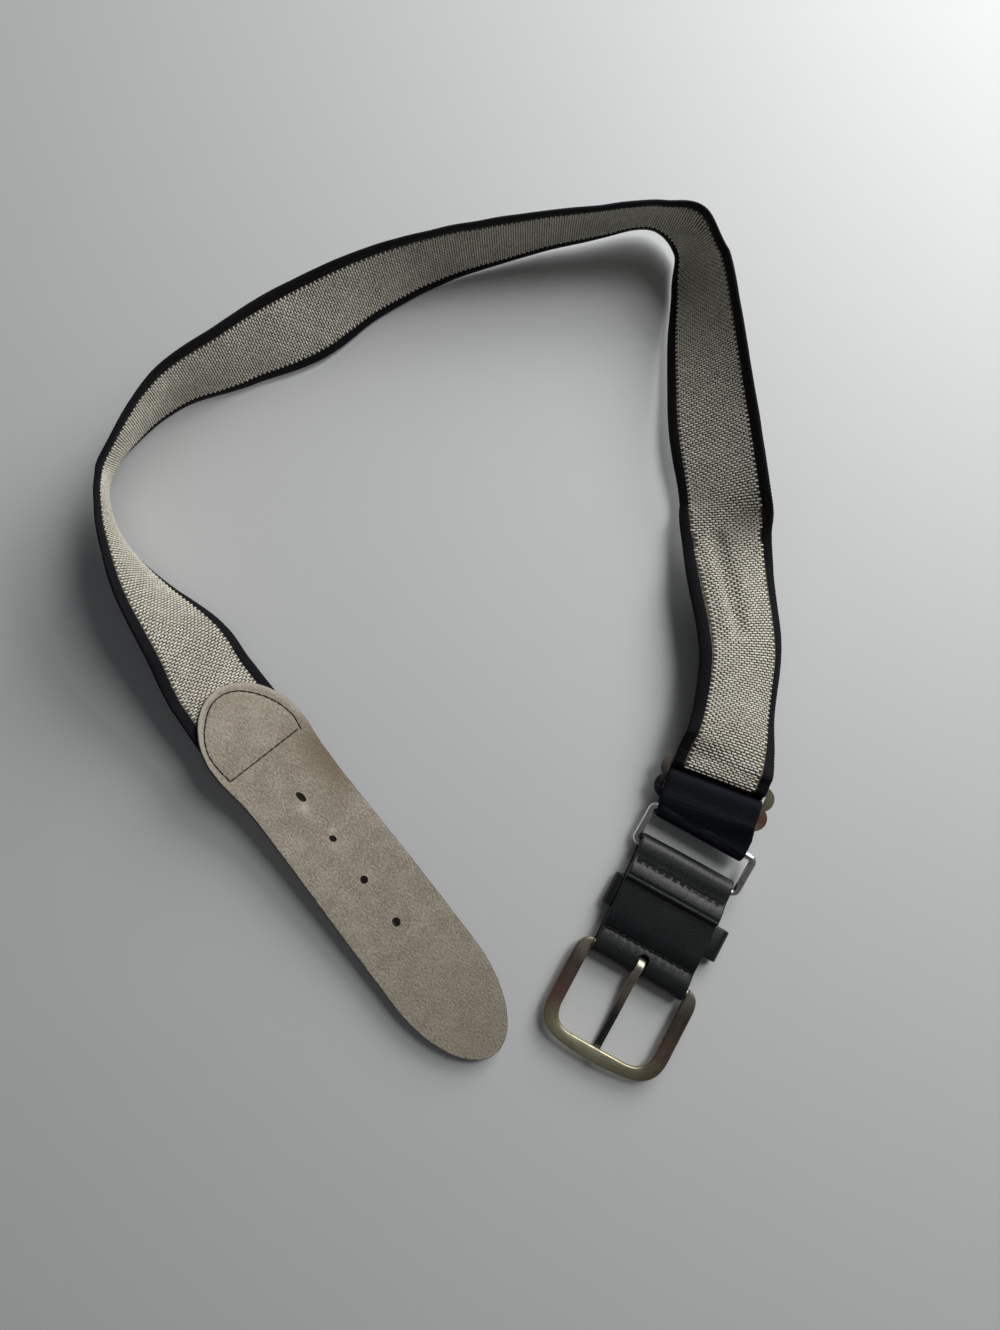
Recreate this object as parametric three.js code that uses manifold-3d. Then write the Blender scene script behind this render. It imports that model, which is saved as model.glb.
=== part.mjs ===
// Elastic belt lying open on a table, inner side up: an elastic web, a holed leather tab at one end,
// and at the other a slide, a wire ring and a leather strap that carries a frame buckle.
// Millimetres, +Z up. The rows below are measured from one table point; the finished belt is then
// moved so that the origin is on the table under the middle of its box.
import * as THREE from 'three';
import { mergeVertices } from 'three/addons/utils/BufferGeometryUtils.js';
import Module from 'manifold-3d';

const wasm = await Module();
wasm.setup();

// Clearance kept between neighbouring pieces
const GAP = 0.3;

// Straight pieces that stand for each curve of an outline
const CURVE_SEGMENTS = 8;

// Middle of the belt's box on the table, in the frame of the rows
const CENTRE = { x: -0.8, y: -0.2 };

// Elastic web
const WEB_WIDTH = 38;
const WEB_THICK = 1.6;
const WEB_WIDTH_AT_FOLD = 36.6;
const WEB_STEP = 4.5;
const WEB_STRIPS_ACROSS = 6;

// Leather tab, measured along its length from the first hole, positive towards the tip
const TAB_THICK = 2.2;
const TAB_FIRST_HOLE = { x: -53.7, y: -61.9 };
const TAB_HEADING = -52.3;
const TAB_TIP = 121.8;
const TAB_ROUND_END = -51.5;
const TAB_TIP_LENGTH = 38;
const TAB_ROUND_LENGTH = 25;
const TAB_STRIPS_ACROSS = 6;
const TAB_STEP = 7;
const TAB_ROUND_STEPS = 8;
const HOLE_RADIUS = 2;
const HOLE_SPACING = 20;
const HOLE_COUNT = 4;

// Buckle end: its own frame has x across, y from the heel bar towards the ring, z up
const BUCKLE_PLACE = { x: 75.7, y: -126.2 };
const BUCKLE_TURN = -28.6;
const HEEL_HEIGHT = 4.2;
const HEEL_RADIUS = 1.6;

// Buckle frame, a flat bent strip
const FRAME_HALF = 25.6;
const FRAME_HALF_AT_HEEL = 20.6;
const FRAME_INNER_HALF = 19.9;
const FRAME_FRONT = -39.8;
const FRAME_INNER_FRONT = -34.0;
const FRAME_THICK = 2.2;
const FRAME_OUTER_CORNER = { across: 13, along: 14, pull: 5, rise: 0.9 };
const FRAME_INNER_CORNER = 9;
const FRAME_HEEL_CORNER = 8;

// Prong
const PRONG_PLACE = -0.7;
const PRONG_WIDTH = 3.4;
const PRONG_EYE_RADIUS = 3.6;

// Side view of the prong's shaft from the heel bar to the tip: y, height of its lower and upper side
const PRONG_ROWS = [
  { y: 0, low: 1.0, high: 6.4 },
  { y: -8, low: 1.5, high: 5.1 },
  { y: -14, low: 1.1, high: 4.2 },
  { y: -31, low: 0.4, high: 2.7 },
  { y: -37.6, low: 0.3, high: 2.4 },
  { y: -38.6, low: 1.0, high: 1.6 },
];

// Leather buckle strap, folded round the heel bar and round the ring
const STRAP_WIDTH = 38.8;
const STRAP_THICK = 1.8;
const STRAP_MIDDLE = -0.4;
const STRAP_SKEW = -0.06;
const SLOT_WIDTH = 4.4;
const SLOT_BACK = 5.6;

// Side view of the strap's middle, from the end of its outer layer to the heel bar
const STRAP_TOP_ROWS = [
  { y: 33.4, z: 7.6 },
  { y: 27, z: 7.6 },
  { y: 18, z: 7.6 },
  { y: 8, z: 7.4 },
];

// From the heel bar under the keeper's top run to the ring
const STRAP_UNDER_ROWS = [
  { y: 6, z: 1.9 },
  { y: 13, z: 3.3 },
  { y: 17, z: 3.6 },
  { y: 28, z: 3.6 },
  { y: 34, z: 3.0 },
];

// From the ring back over the end of the outer layer
const STRAP_RETURN_ROWS = [
  { y: 37.5, z: 8.3 },
  { y: 34, z: 9.4 },
  { y: 31, z: 9.7 },
  { y: 27.8, z: 9.7 },
];

// Keeper, a flattened leather loop round the strap's outer layer
const KEEPER_FROM = 15.0;
const KEEPER_TO = 27.6;
const KEEPER_HALF = 24.3;
const KEEPER_MIDDLE = -0.2;
const KEEPER_HEIGHT = 6.3;
const KEEPER_THICK = 1.5;

// Wire ring, held by its lower bar, and the slide beyond it
const WIRE_RADIUS = 1.5;
const RING_PLACE = { x: -2.7, y: 41.5, z: 4.5 };
const RING_PLAY = 0.9;
const RING_PITCH = 9;
const RING_LEAN = 2;
const RING_HALF = 21.5;
const RING_LENGTH = 15.4;
const RING_CORNER = 2;
const WEB_SHIFT_AT_RING = -1.2;
const SLIDE_PLACE = { x: -7.2, y: 71.6, z: 10.4 };
const SLIDE_TURN = 9;
const SLIDE_PITCH = 10;
const SLIDE_LEAN = 6;
const SLIDE_THICK = 1.4;
const SLIDE_HALF_LENGTH = 8.9;
const SLIDE_LOBE = { x: 17.1, y: 3.9, radius: 5 };
const SLOT_HALF = 18.7;
const SLOT_NEAR = 1.3;
const SLOT_FAR = 6.7;

// The tab's course: t along it, lift under its lower edge, lean of its width, width
const TAB_ROWS = [
  { t: 122, lift: 0.5, lean: 5, width: 38.8 },
  { t: 84, lift: 0.3, lean: 7, width: 38.8 },
  { t: 50, lift: 0.1, lean: 11, width: 38.4 },
  { t: 20, lift: 0.2, lean: 16, width: 37.6 },
  { t: 0, lift: 0.7, lean: 19, width: 37.4 },
  { t: -12, lift: 1.2, lean: 21.5, width: 38.4 },
  { t: -24, lift: 1.6, lean: 24.5, width: 41.2 },
  { t: -42, lift: 1.7, lean: 30, width: 41.4 },
  { t: -60, lift: 1.8, lean: 36, width: 41.4 },
];

// The web under the tab: t from its end to where it comes out, shift of its middle outwards
const WEB_UNDER_TAB = [
  { t: -16, shift: 0 },
  { t: -28, shift: 0 },
  { t: -40, shift: -0.3 },
  { t: -50, shift: -0.8 },
  { t: -56, shift: -1.2 },
];

// The web's course from the tab to the slide: place of its middle line, lift under its edge on the
// loop's inner side, lean of its width above the table (90 is upright, less than 0 falls towards the
// outer side), bow of its middle towards its outer face (less than 0: towards its inner face), and
// across, its straight width from edge to edge
const WEB_ROWS = [
  { x: -95.5, y: -4.8, lift: 1.5, lean: 45, bow: -2, across: 38 },
  { x: -112.5, y: 16.7, lift: 1.5, lean: 73, bow: -2.5, across: 38 },
  { x: -126, y: 41.3, lift: 3, lean: 99, bow: -2, across: 38 },
  { x: -128.5, y: 57, lift: 4, lean: 106, bow: -2, across: 38 },
  { x: -121.9, y: 71, lift: 5, lean: 104, bow: -1.5, across: 38 },
  { x: -104.2, y: 93.2, lift: 3, lean: 91, bow: -1, across: 38 },
  { x: -78.2, y: 107.4, lift: 2, lean: 75, bow: -1, across: 38 },
  { x: -53, y: 121, lift: 2, lean: 63, bow: 0, across: 38 },
  { x: -28, y: 136, lift: 0.5, lean: 76, bow: 0.3, across: 38 },
  { x: -1, y: 146.5, lift: 0.5, lean: 86, bow: 0.5, across: 38 },
  { x: 27, y: 154, lift: 1.5, lean: 94, bow: 0.3, across: 38 },
  { x: 56, y: 158.5, lift: 3, lean: 100, bow: 0.3, across: 38 },
  { x: 84, y: 162, lift: 4, lean: 104, bow: 0.4, across: 38 },
  { x: 96.5, y: 155.8, lift: 2.5, lean: 86, bow: 0.6, across: 38 },
  { x: 100.3, y: 142, lift: 1, lean: 67, bow: 0.8, across: 38 },
  { x: 101.5, y: 113, lift: 3.5, lean: 51, bow: 1.5, across: 38 },
  { x: 104, y: 84, lift: 5, lean: 40, bow: 1, across: 38 },
  { x: 108.6, y: 52, lift: 4, lean: 37, bow: 0, across: 37.5 },
  { x: 110.5, y: 38, lift: 8, lean: 6.5, bow: -1, across: 34.5 },
  { x: 112.2, y: 23.2, lift: 12, lean: -13, bow: -3.5, across: 36.6 },
  { x: 115.3, y: -5.4, lift: 14, lean: -19, bow: -4.5, across: 36.6 },
  { x: 112.5, y: -27.9, lift: 14, lean: -17, bow: -5, across: 35 },
  { x: 109.7, y: -42, lift: 15.5, lean: -8, bow: -2.5, across: 36 },
];

// Slanting crease in the web's inner face, from one place in plan to another, with a ridge beside it
const CREASE = { from: { x: 106.5, y: 42 }, to: { x: 116.3, y: -3 }, halfWidth: 4, depth: 2.6 };
const CREASE_RIDGE = { aside: 5, height: 0.8 };

// The web's way through the slide, in the slide's plane: y along the belt, h above the plate
const THROUGH_SLIDE = [
  { y: 13, h: 2.3 },
  { y: 10.5, h: 2.0 },
  { y: 7.8, h: 1.85 },
  { y: 6.9, h: 1.85 },
  { y: 5.95, h: 1.45 },
  { y: 5.55, h: 0.6 },
  { y: 5.3, h: -0.8 },
  { y: 4.6, h: -2.6 },
  { y: 3.0, h: -4.0 },
  { y: 0, h: -4.5 },
  { y: -3.0, h: -4.1 },
  { y: -6.0, h: -3.1 },
  { y: -9.2, h: -2.4 },
];
const BACK_OVER_SLIDE = [
  { y: -9.7, h: 2.8 },
  { y: -7.8, h: 2.3 },
  { y: -4.5, h: 2.2 },
];
const BAR_WRAP_RADIUS = 2.4;
const RING_WRAP_RADIUS = WIRE_RADIUS + GAP + WEB_THICK / 2;
const WRAP_STEP = 30;
const FOLD_STEP = 22.5;

const UP = new THREE.Vector3(0, 0, 1);
const radians = THREE.MathUtils.degToRad;

function material(color, roughness, metalness) {
  return new THREE.MeshStandardMaterial({ color, roughness, metalness });
}

const MATERIALS = {
  web: material(0xb9b0a0, 0.9, 0),
  suede: material(0xa79d8c, 0.95, 0),
  leather: material(0x1c1f20, 0.5, 0),
  plated: material(0x9a9382, 0.3, 1),
  chrome: material(0xd8d8d4, 0.15, 1),
};

// Direction across a strap: outwards from the loop at lean 0, straight up at lean 90
function across(tangent, lean) {
  const outward = new THREE.Vector3().crossVectors(UP, tangent).setZ(0).normalize();
  return outward.multiplyScalar(Math.cos(radians(lean))).addScaledVector(UP, Math.sin(radians(lean)));
}

// Height of a strap's middle line above the table
function middleHeight(row, width, thick) {
  const lean = radians(row.lean);
  return row.lift + (width / 2) * Math.sin(lean) + (thick / 2) * Math.abs(Math.cos(lean));
}

// A strap's line through its controls, each a middle point with a side direction or a lean
function strapLine(controls) {
  const last = controls.length - 1;
  const path = new THREE.CatmullRomCurve3(controls.map((c) => c.mid), false, 'centripetal');
  const sides = controls.map((c, i) => c.side ?? across(path.getTangent(i / last), c.lean));
  const sidePath = new THREE.CatmullRomCurve3(sides, false, 'catmullrom');
  const shapes = controls.map((c) => new THREE.Vector3(c.width, c.bow ?? 0, 0));
  const shapePath = new THREE.CatmullRomCurve3(shapes, false, 'catmullrom');
  return (u) => {
    const tangent = path.getTangent(u);
    const side = sidePath.getPoint(u);
    side.addScaledVector(tangent, -side.dot(tangent)).normalize();
    const shape = shapePath.getPoint(u);
    return {
      mid: path.getPoint(u),
      side,
      normal: new THREE.Vector3().crossVectors(tangent, side),
      width: shape.x,
      bow: shape.y,
    };
  };
}

// How deep the crease is at a point of the web, seen in plan; less than 0 on its ridge
function creaseDepth(point) {
  const from = new THREE.Vector2(CREASE.from.x, CREASE.from.y);
  const run = new THREE.Vector2(CREASE.to.x, CREASE.to.y).sub(from);
  const offset = new THREE.Vector2(point.x, point.y).sub(from);
  const along = THREE.MathUtils.clamp(offset.dot(run) / run.lengthSq(), 0, 1);
  const aside = offset.addScaledVector(run, -along);
  const distance = Math.sign(run.cross(aside)) * aside.length();
  const hump = (place) => Math.exp(-(((distance - place) / CREASE.halfWidth) ** 2));
  return CREASE.depth * hump(0) - CREASE_RIDGE.height * hump(-CREASE_RIDGE.aside);
}

// Two points, on the inner and the outer face, for each place across a strap's section
function section(frame, thick, strips) {
  const pairs = [];
  for (let j = 0; j <= strips; j++) {
    const place = (2 * j) / strips - 1;
    const mid = frame.mid
      .clone()
      .addScaledVector(frame.side, (place * frame.width) / 2)
      .addScaledVector(frame.normal, -frame.bow * (1 - place * place));
    mid.addScaledVector(frame.normal, -creaseDepth(mid));
    pairs.push([
      mid.clone().addScaledVector(frame.normal, thick / 2),
      mid.clone().addScaledVector(frame.normal, -thick / 2),
    ]);
  }
  return pairs;
}

// Closed slab whose sections follow each other along a strap
function slab(sections) {
  const strips = sections[0].length - 1;
  const last = sections.length - 1;
  const positions = sections.flat(2).flatMap((p) => [p.x, p.y, p.z]);
  const inner = (i, j) => 2 * (i * (strips + 1) + j);
  const outer = (i, j) => inner(i, j) + 1;
  const index = [];
  const quad = (a, b, c, d) => index.push(a, b, c, a, c, d);
  for (let i = 0; i < last; i++) {
    for (let j = 0; j < strips; j++) {
      quad(inner(i, j), inner(i + 1, j), inner(i + 1, j + 1), inner(i, j + 1));
      quad(outer(i, j), outer(i, j + 1), outer(i + 1, j + 1), outer(i + 1, j));
    }
    quad(inner(i, 0), outer(i, 0), outer(i + 1, 0), inner(i + 1, 0));
    quad(inner(i, strips), inner(i + 1, strips), outer(i + 1, strips), outer(i, strips));
  }
  for (let j = 0; j < strips; j++) {
    quad(inner(0, j), inner(0, j + 1), outer(0, j + 1), outer(0, j));
    quad(inner(last, j), outer(last, j), outer(last, j + 1), inner(last, j + 1));
  }
  const geometry = new THREE.BufferGeometry();
  geometry.setAttribute('position', new THREE.Float32BufferAttribute(positions, 3));
  geometry.setIndex(index);
  return geometry;
}

function toSolid(geometry) {
  const bare = geometry.clone();
  bare.deleteAttribute('normal');
  bare.deleteAttribute('uv');
  const merged = mergeVertices(bare, 1e-4);
  return new wasm.Manifold(
    new wasm.Mesh({
      numProp: 3,
      vertProperties: new Float32Array(merged.attributes.position.array),
      triVerts: new Uint32Array(merged.index.array),
    }),
  );
}

function toGeometry(solid) {
  const mesh = solid.getMesh();
  const geometry = new THREE.BufferGeometry();
  geometry.setAttribute('position', new THREE.BufferAttribute(mesh.vertProperties, 3));
  geometry.setIndex(new THREE.BufferAttribute(mesh.triVerts, 1));
  geometry.computeVertexNormals();
  return geometry;
}

function named(name, geometry, look) {
  const mesh = new THREE.Mesh(geometry, look);
  mesh.name = name;
  return mesh;
}

// Flat plate of an even thickness from an outline, its underside at height 0
function plateOf(outline, depth) {
  return new THREE.ExtrudeGeometry(outline, { depth, bevelEnabled: false, curveSegments: CURVE_SEGMENTS });
}

// Round rod along x, used for bars and bores
function rod(radius, length, sides) {
  return new THREE.CylinderGeometry(radius, radius, length, sides).rotateZ(Math.PI / 2);
}

// Leather tab

const tabDirection = new THREE.Vector3(Math.cos(radians(TAB_HEADING)), Math.sin(radians(TAB_HEADING)), 0);

const tabLine = strapLine(
  TAB_ROWS.map((row) => ({
    mid: new THREE.Vector3(TAB_FIRST_HOLE.x, TAB_FIRST_HOLE.y, middleHeight(row, row.width, TAB_THICK))
      .addScaledVector(tabDirection, row.t),
    lean: row.lean,
    width: row.width,
  })),
);

// Frame of the tab at a distance t from its first hole
function tabFrame(t) {
  const next = TAB_ROWS.findIndex((row, i) => i > 0 && row.t <= t);
  const i = next < 0 ? TAB_ROWS.length - 1 : next;
  const part = (TAB_ROWS[i - 1].t - t) / (TAB_ROWS[i - 1].t - TAB_ROWS[i].t);
  return tabLine((i - 1 + part) / (TAB_ROWS.length - 1));
}

// Distances of the tab's sections: even between the ends, closer where an end rounds off
function tabStations() {
  const stations = [];
  for (let k = 1; k <= TAB_ROUND_STEPS; k++) {
    const turn = (k / TAB_ROUND_STEPS) * (Math.PI / 2);
    stations.push(TAB_TIP - TAB_TIP_LENGTH * (1 - Math.cos(turn)));
    stations.push(TAB_ROUND_END + TAB_ROUND_LENGTH * (1 - Math.cos(turn)));
  }
  const from = TAB_ROUND_END + TAB_ROUND_LENGTH;
  const to = TAB_TIP - TAB_TIP_LENGTH;
  const steps = Math.round((to - from) / TAB_STEP);
  for (let k = 1; k < steps; k++) {
    stations.push(from + ((to - from) * k) / steps);
  }
  return stations.sort((a, b) => b - a);
}

// Share of the full width that the tab has at a distance, less than 1 in its round ends
function tabRoundness(t) {
  const intoTip = Math.max(0, t - (TAB_TIP - TAB_TIP_LENGTH)) / TAB_TIP_LENGTH;
  const intoRound = Math.max(0, TAB_ROUND_END + TAB_ROUND_LENGTH - t) / TAB_ROUND_LENGTH;
  const into = Math.max(intoTip, intoRound);
  return Math.sqrt(1 - into * into);
}

function leatherTab() {
  const sections = tabStations().map((t) => {
    const frame = tabFrame(t);
    frame.width *= tabRoundness(t);
    return section(frame, TAB_THICK, TAB_STRIPS_ACROSS);
  });
  let solid = toSolid(slab(sections));
  for (let k = 0; k < HOLE_COUNT; k++) {
    const frame = tabFrame(k * HOLE_SPACING);
    const punch = new THREE.CylinderGeometry(HOLE_RADIUS, HOLE_RADIUS, 3 * TAB_THICK, 16);
    const turn = new THREE.Quaternion().setFromUnitVectors(new THREE.Vector3(0, 1, 0), frame.normal);
    punch.applyQuaternion(turn).translate(frame.mid.x, frame.mid.y, frame.mid.z);
    solid = solid.subtract(toSolid(punch));
  }
  return named('leather_tab', toGeometry(solid), MATERIALS.suede);
}

// Places of the buckle end's frames

const buckleMatrix = new THREE.Matrix4()
  .makeTranslation(BUCKLE_PLACE.x, BUCKLE_PLACE.y, 0)
  .multiply(new THREE.Matrix4().makeRotationZ(radians(BUCKLE_TURN)));
const ringMatrix = buckleMatrix
  .clone()
  .multiply(new THREE.Matrix4().makeTranslation(RING_PLACE.x, RING_PLACE.y, RING_PLACE.z))
  .multiply(new THREE.Matrix4().makeRotationX(radians(RING_PITCH)))
  .multiply(new THREE.Matrix4().makeRotationY(radians(-RING_LEAN)));
const slideMatrix = buckleMatrix
  .clone()
  .multiply(new THREE.Matrix4().makeTranslation(SLIDE_PLACE.x, SLIDE_PLACE.y, SLIDE_PLACE.z))
  .multiply(new THREE.Matrix4().makeRotationZ(radians(SLIDE_TURN)))
  .multiply(new THREE.Matrix4().makeRotationX(radians(SLIDE_PITCH)))
  .multiply(new THREE.Matrix4().makeRotationY(radians(-SLIDE_LEAN)));

function placed(mesh, matrix) {
  matrix.decompose(mesh.position, mesh.quaternion, mesh.scale);
  return mesh;
}

// Elastic web

// Controls of the web under the tab, which keep it parallel to the tab's underside
function webUnderTab() {
  const below = TAB_THICK / 2 + GAP + WEB_THICK / 2;
  return WEB_UNDER_TAB.map((row) => {
    const frame = tabFrame(row.t);
    return {
      mid: frame.mid.clone().addScaledVector(frame.normal, -below).addScaledVector(frame.side, row.shift),
      side: frame.side.clone(),
      width: WEB_WIDTH,
    };
  });
}

// Control of the web at a point of a flat frame of the buckle end
function webControl(matrix, x, y, h) {
  return {
    mid: new THREE.Vector3(x, y, h).applyMatrix4(matrix),
    side: new THREE.Vector3(1, 0, 0).transformDirection(matrix),
    width: WEB_WIDTH_AT_FOLD,
  };
}

// Controls on a round wrap, from one angle to another in the plane along the belt
function wrap(matrix, x, y, radius, from, to) {
  const steps = Math.round(Math.abs(to - from) / WRAP_STEP);
  const controls = [];
  for (let k = 0; k <= steps; k++) {
    const turn = radians(from + ((to - from) * k) / steps);
    controls.push(webControl(matrix, x, y + radius * Math.cos(turn), radius * Math.sin(turn)));
  }
  return controls;
}

function webControls() {
  const run = WEB_ROWS.map((row) => ({
    mid: new THREE.Vector3(row.x, row.y, middleHeight(row, row.across, WEB_THICK)),
    lean: row.lean,
    bow: row.bow,
    width: row.across,
  }));
  return [
    ...webUnderTab(),
    ...run,
    ...THROUGH_SLIDE.map((p) => webControl(slideMatrix, 0, p.y, p.h)),
    ...wrap(ringMatrix, WEB_SHIFT_AT_RING, RING_LENGTH, RING_WRAP_RADIUS, 270, 90),
    webControl(ringMatrix, WEB_SHIFT_AT_RING, RING_LENGTH + WIRE_RADIUS, RING_WRAP_RADIUS),
    ...BACK_OVER_SLIDE.map((p) => webControl(slideMatrix, 0, p.y, p.h)),
    ...wrap(slideMatrix, 0, 0, BAR_WRAP_RADIUS, 90, -120),
  ];
}

function elasticWeb() {
  const controls = webControls();
  const line = strapLine(controls);
  const last = controls.length - 1;
  const sections = [];
  for (let i = 0; i < last; i++) {
    const length = controls[i].mid.distanceTo(controls[i + 1].mid);
    const steps = Math.max(1, Math.round(length / WEB_STEP));
    for (let k = 0; k < steps; k++) {
      sections.push(section(line((i + k / steps) / last), WEB_THICK, WEB_STRIPS_ACROSS));
    }
  }
  sections.push(section(line(1), WEB_THICK, WEB_STRIPS_ACROSS));
  return named('elastic_web', slab(sections), MATERIALS.web);
}

// Slide adjuster, a plate with two slots and two lobes at each end

function slideAdjuster() {
  const lobe = SLIDE_LOBE;
  const notch = Math.asin(lobe.y / lobe.radius);
  const plate = new THREE.Shape();
  plate.moveTo(-lobe.x, SLIDE_HALF_LENGTH);
  plate.absarc(-lobe.x, lobe.y, lobe.radius, Math.PI / 2, Math.PI + notch, false);
  plate.absarc(-lobe.x, -lobe.y, lobe.radius, Math.PI - notch, 1.5 * Math.PI, false);
  plate.absarc(lobe.x, -lobe.y, lobe.radius, -Math.PI / 2, notch, false);
  plate.absarc(lobe.x, lobe.y, lobe.radius, -notch, Math.PI / 2, false);
  for (const [from, to] of [[SLOT_NEAR, SLOT_FAR], [-SLOT_FAR, -SLOT_NEAR]]) {
    const slot = new THREE.Path();
    slot.moveTo(-SLOT_HALF, from);
    slot.lineTo(-SLOT_HALF, to);
    slot.lineTo(SLOT_HALF, to);
    slot.lineTo(SLOT_HALF, from);
    slot.closePath();
    plate.holes.push(slot);
  }
  const geometry = plateOf(plate, SLIDE_THICK).translate(0, 0, -SLIDE_THICK / 2);
  return placed(named('slide_adjuster', geometry, MATERIALS.plated), slideMatrix);
}

// Wire ring, a rounded rectangle of round wire

function wireRing() {
  const cornerSteps = 4;
  const wireSides = 10;
  const corners = [
    { x: RING_HALF - RING_CORNER, y: RING_LENGTH - RING_CORNER, from: 0 },
    { x: RING_CORNER - RING_HALF, y: RING_LENGTH - RING_CORNER, from: 90 },
    { x: RING_CORNER - RING_HALF, y: RING_CORNER, from: 180 },
    { x: RING_HALF - RING_CORNER, y: RING_CORNER, from: 270 },
  ];
  const positions = [];
  for (const corner of corners) {
    for (let k = 0; k <= cornerSteps; k++) {
      const turn = radians(corner.from + (90 * k) / cornerSteps);
      for (let side = 0; side < wireSides; side++) {
        const round = (2 * Math.PI * side) / wireSides;
        const reach = RING_CORNER + WIRE_RADIUS * Math.cos(round);
        positions.push(
          corner.x + reach * Math.cos(turn),
          corner.y + reach * Math.sin(turn),
          WIRE_RADIUS * Math.sin(round),
        );
      }
    }
  }
  const rings = positions.length / (3 * wireSides);
  const index = [];
  for (let i = 0; i < rings; i++) {
    for (let side = 0; side < wireSides; side++) {
      const here = i * wireSides;
      const next = ((i + 1) % rings) * wireSides;
      const after = (side + 1) % wireSides;
      index.push(here + side, next + side, next + after);
      index.push(here + side, next + after, here + after);
    }
  }
  const geometry = new THREE.BufferGeometry();
  geometry.setAttribute('position', new THREE.Float32BufferAttribute(positions, 3));
  geometry.setIndex(index);
  return placed(named('wire_ring', geometry, MATERIALS.chrome), ringMatrix);
}

// Shape of a band of even thickness along a path in the plane of y and z
function bandShape(points, thick) {
  const sides = [[], []];
  points.forEach((point, i) => {
    const before = points[Math.max(i - 1, 0)];
    const after = points[Math.min(i + 1, points.length - 1)];
    const along = after.clone().sub(before).normalize();
    const out = new THREE.Vector2(-along.y, along.x).multiplyScalar(thick / 2);
    sides[0].push(point.clone().sub(out));
    sides[1].push(point.clone().add(out));
  });
  return new THREE.Shape([...sides[0], ...sides[1].reverse()]);
}

// Points on an arc in the plane of y and z
function arcPoints(y, z, radius, from, to, step) {
  const count = Math.round(Math.abs(to - from) / step);
  return Array.from({ length: count + 1 }, (_, k) => {
    const turn = radians(from + ((to - from) * k) / count);
    return new THREE.Vector2(y + radius * Math.cos(turn), z + radius * Math.sin(turn));
  });
}

// Extrudes a shape of y and z across x
function acrossX(shape, width) {
  const geometry = plateOf(shape, width).translate(0, 0, -width / 2);
  const axes = new THREE.Matrix4().makeBasis(
    new THREE.Vector3(0, 1, 0),
    new THREE.Vector3(0, 0, 1),
    new THREE.Vector3(1, 0, 0),
  );
  return geometry.applyMatrix4(axes);
}

// Leather buckle strap

function strapPath() {
  const heelWrap = HEEL_RADIUS + GAP + STRAP_THICK / 2;
  const ringWrap = WIRE_RADIUS + RING_PLAY + STRAP_THICK / 2;
  const point = (row) => new THREE.Vector2(row.y, row.z);
  return [
    ...STRAP_TOP_ROWS.map(point),
    ...arcPoints(0, HEEL_HEIGHT, heelWrap, 90, 270, FOLD_STEP),
    ...STRAP_UNDER_ROWS.map(point),
    ...arcPoints(RING_PLACE.y, RING_PLACE.z, ringWrap, 270, 450, FOLD_STEP),
    ...STRAP_RETURN_ROWS.map(point),
  ];
}

function buckleStrap() {
  const band = acrossX(bandShape(strapPath(), STRAP_THICK), STRAP_WIDTH);
  const skew = new THREE.Matrix4().makeShear(0, 0, STRAP_SKEW, 0, 0, 0);
  band.applyMatrix4(skew).translate(STRAP_MIDDLE, 0, 0);
  const slotLength = SLOT_BACK + 2 * PRONG_EYE_RADIUS;
  const slot = new THREE.BoxGeometry(SLOT_WIDTH, slotLength, 30);
  slot.translate(PRONG_PLACE, SLOT_BACK - slotLength / 2, 0);
  const solid = toSolid(band).subtract(toSolid(slot));
  return placed(named('buckle_strap', toGeometry(solid), MATERIALS.leather), buckleMatrix);
}

// Keeper

function flatLoop(half, height) {
  const radius = height / 2;
  const loop = new THREE.Shape();
  loop.absarc(half - radius, 0, radius, -Math.PI / 2, Math.PI / 2, false);
  loop.absarc(radius - half, 0, radius, Math.PI / 2, 1.5 * Math.PI, false);
  return loop;
}

function keeperLoop() {
  const loop = flatLoop(KEEPER_HALF, KEEPER_HEIGHT);
  loop.holes.push(flatLoop(KEEPER_HALF - KEEPER_THICK, KEEPER_HEIGHT - 2 * KEEPER_THICK));
  const length = KEEPER_TO - KEEPER_FROM;
  const geometry = plateOf(loop, length).rotateX(Math.PI / 2);
  geometry.translate(KEEPER_MIDDLE, KEEPER_TO, KEEPER_HEIGHT / 2);
  return placed(named('keeper_loop', geometry, MATERIALS.leather), buckleMatrix);
}

// Buckle frame: a flat bent strip, with a round heel bar that turns in the strap's fold

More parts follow.
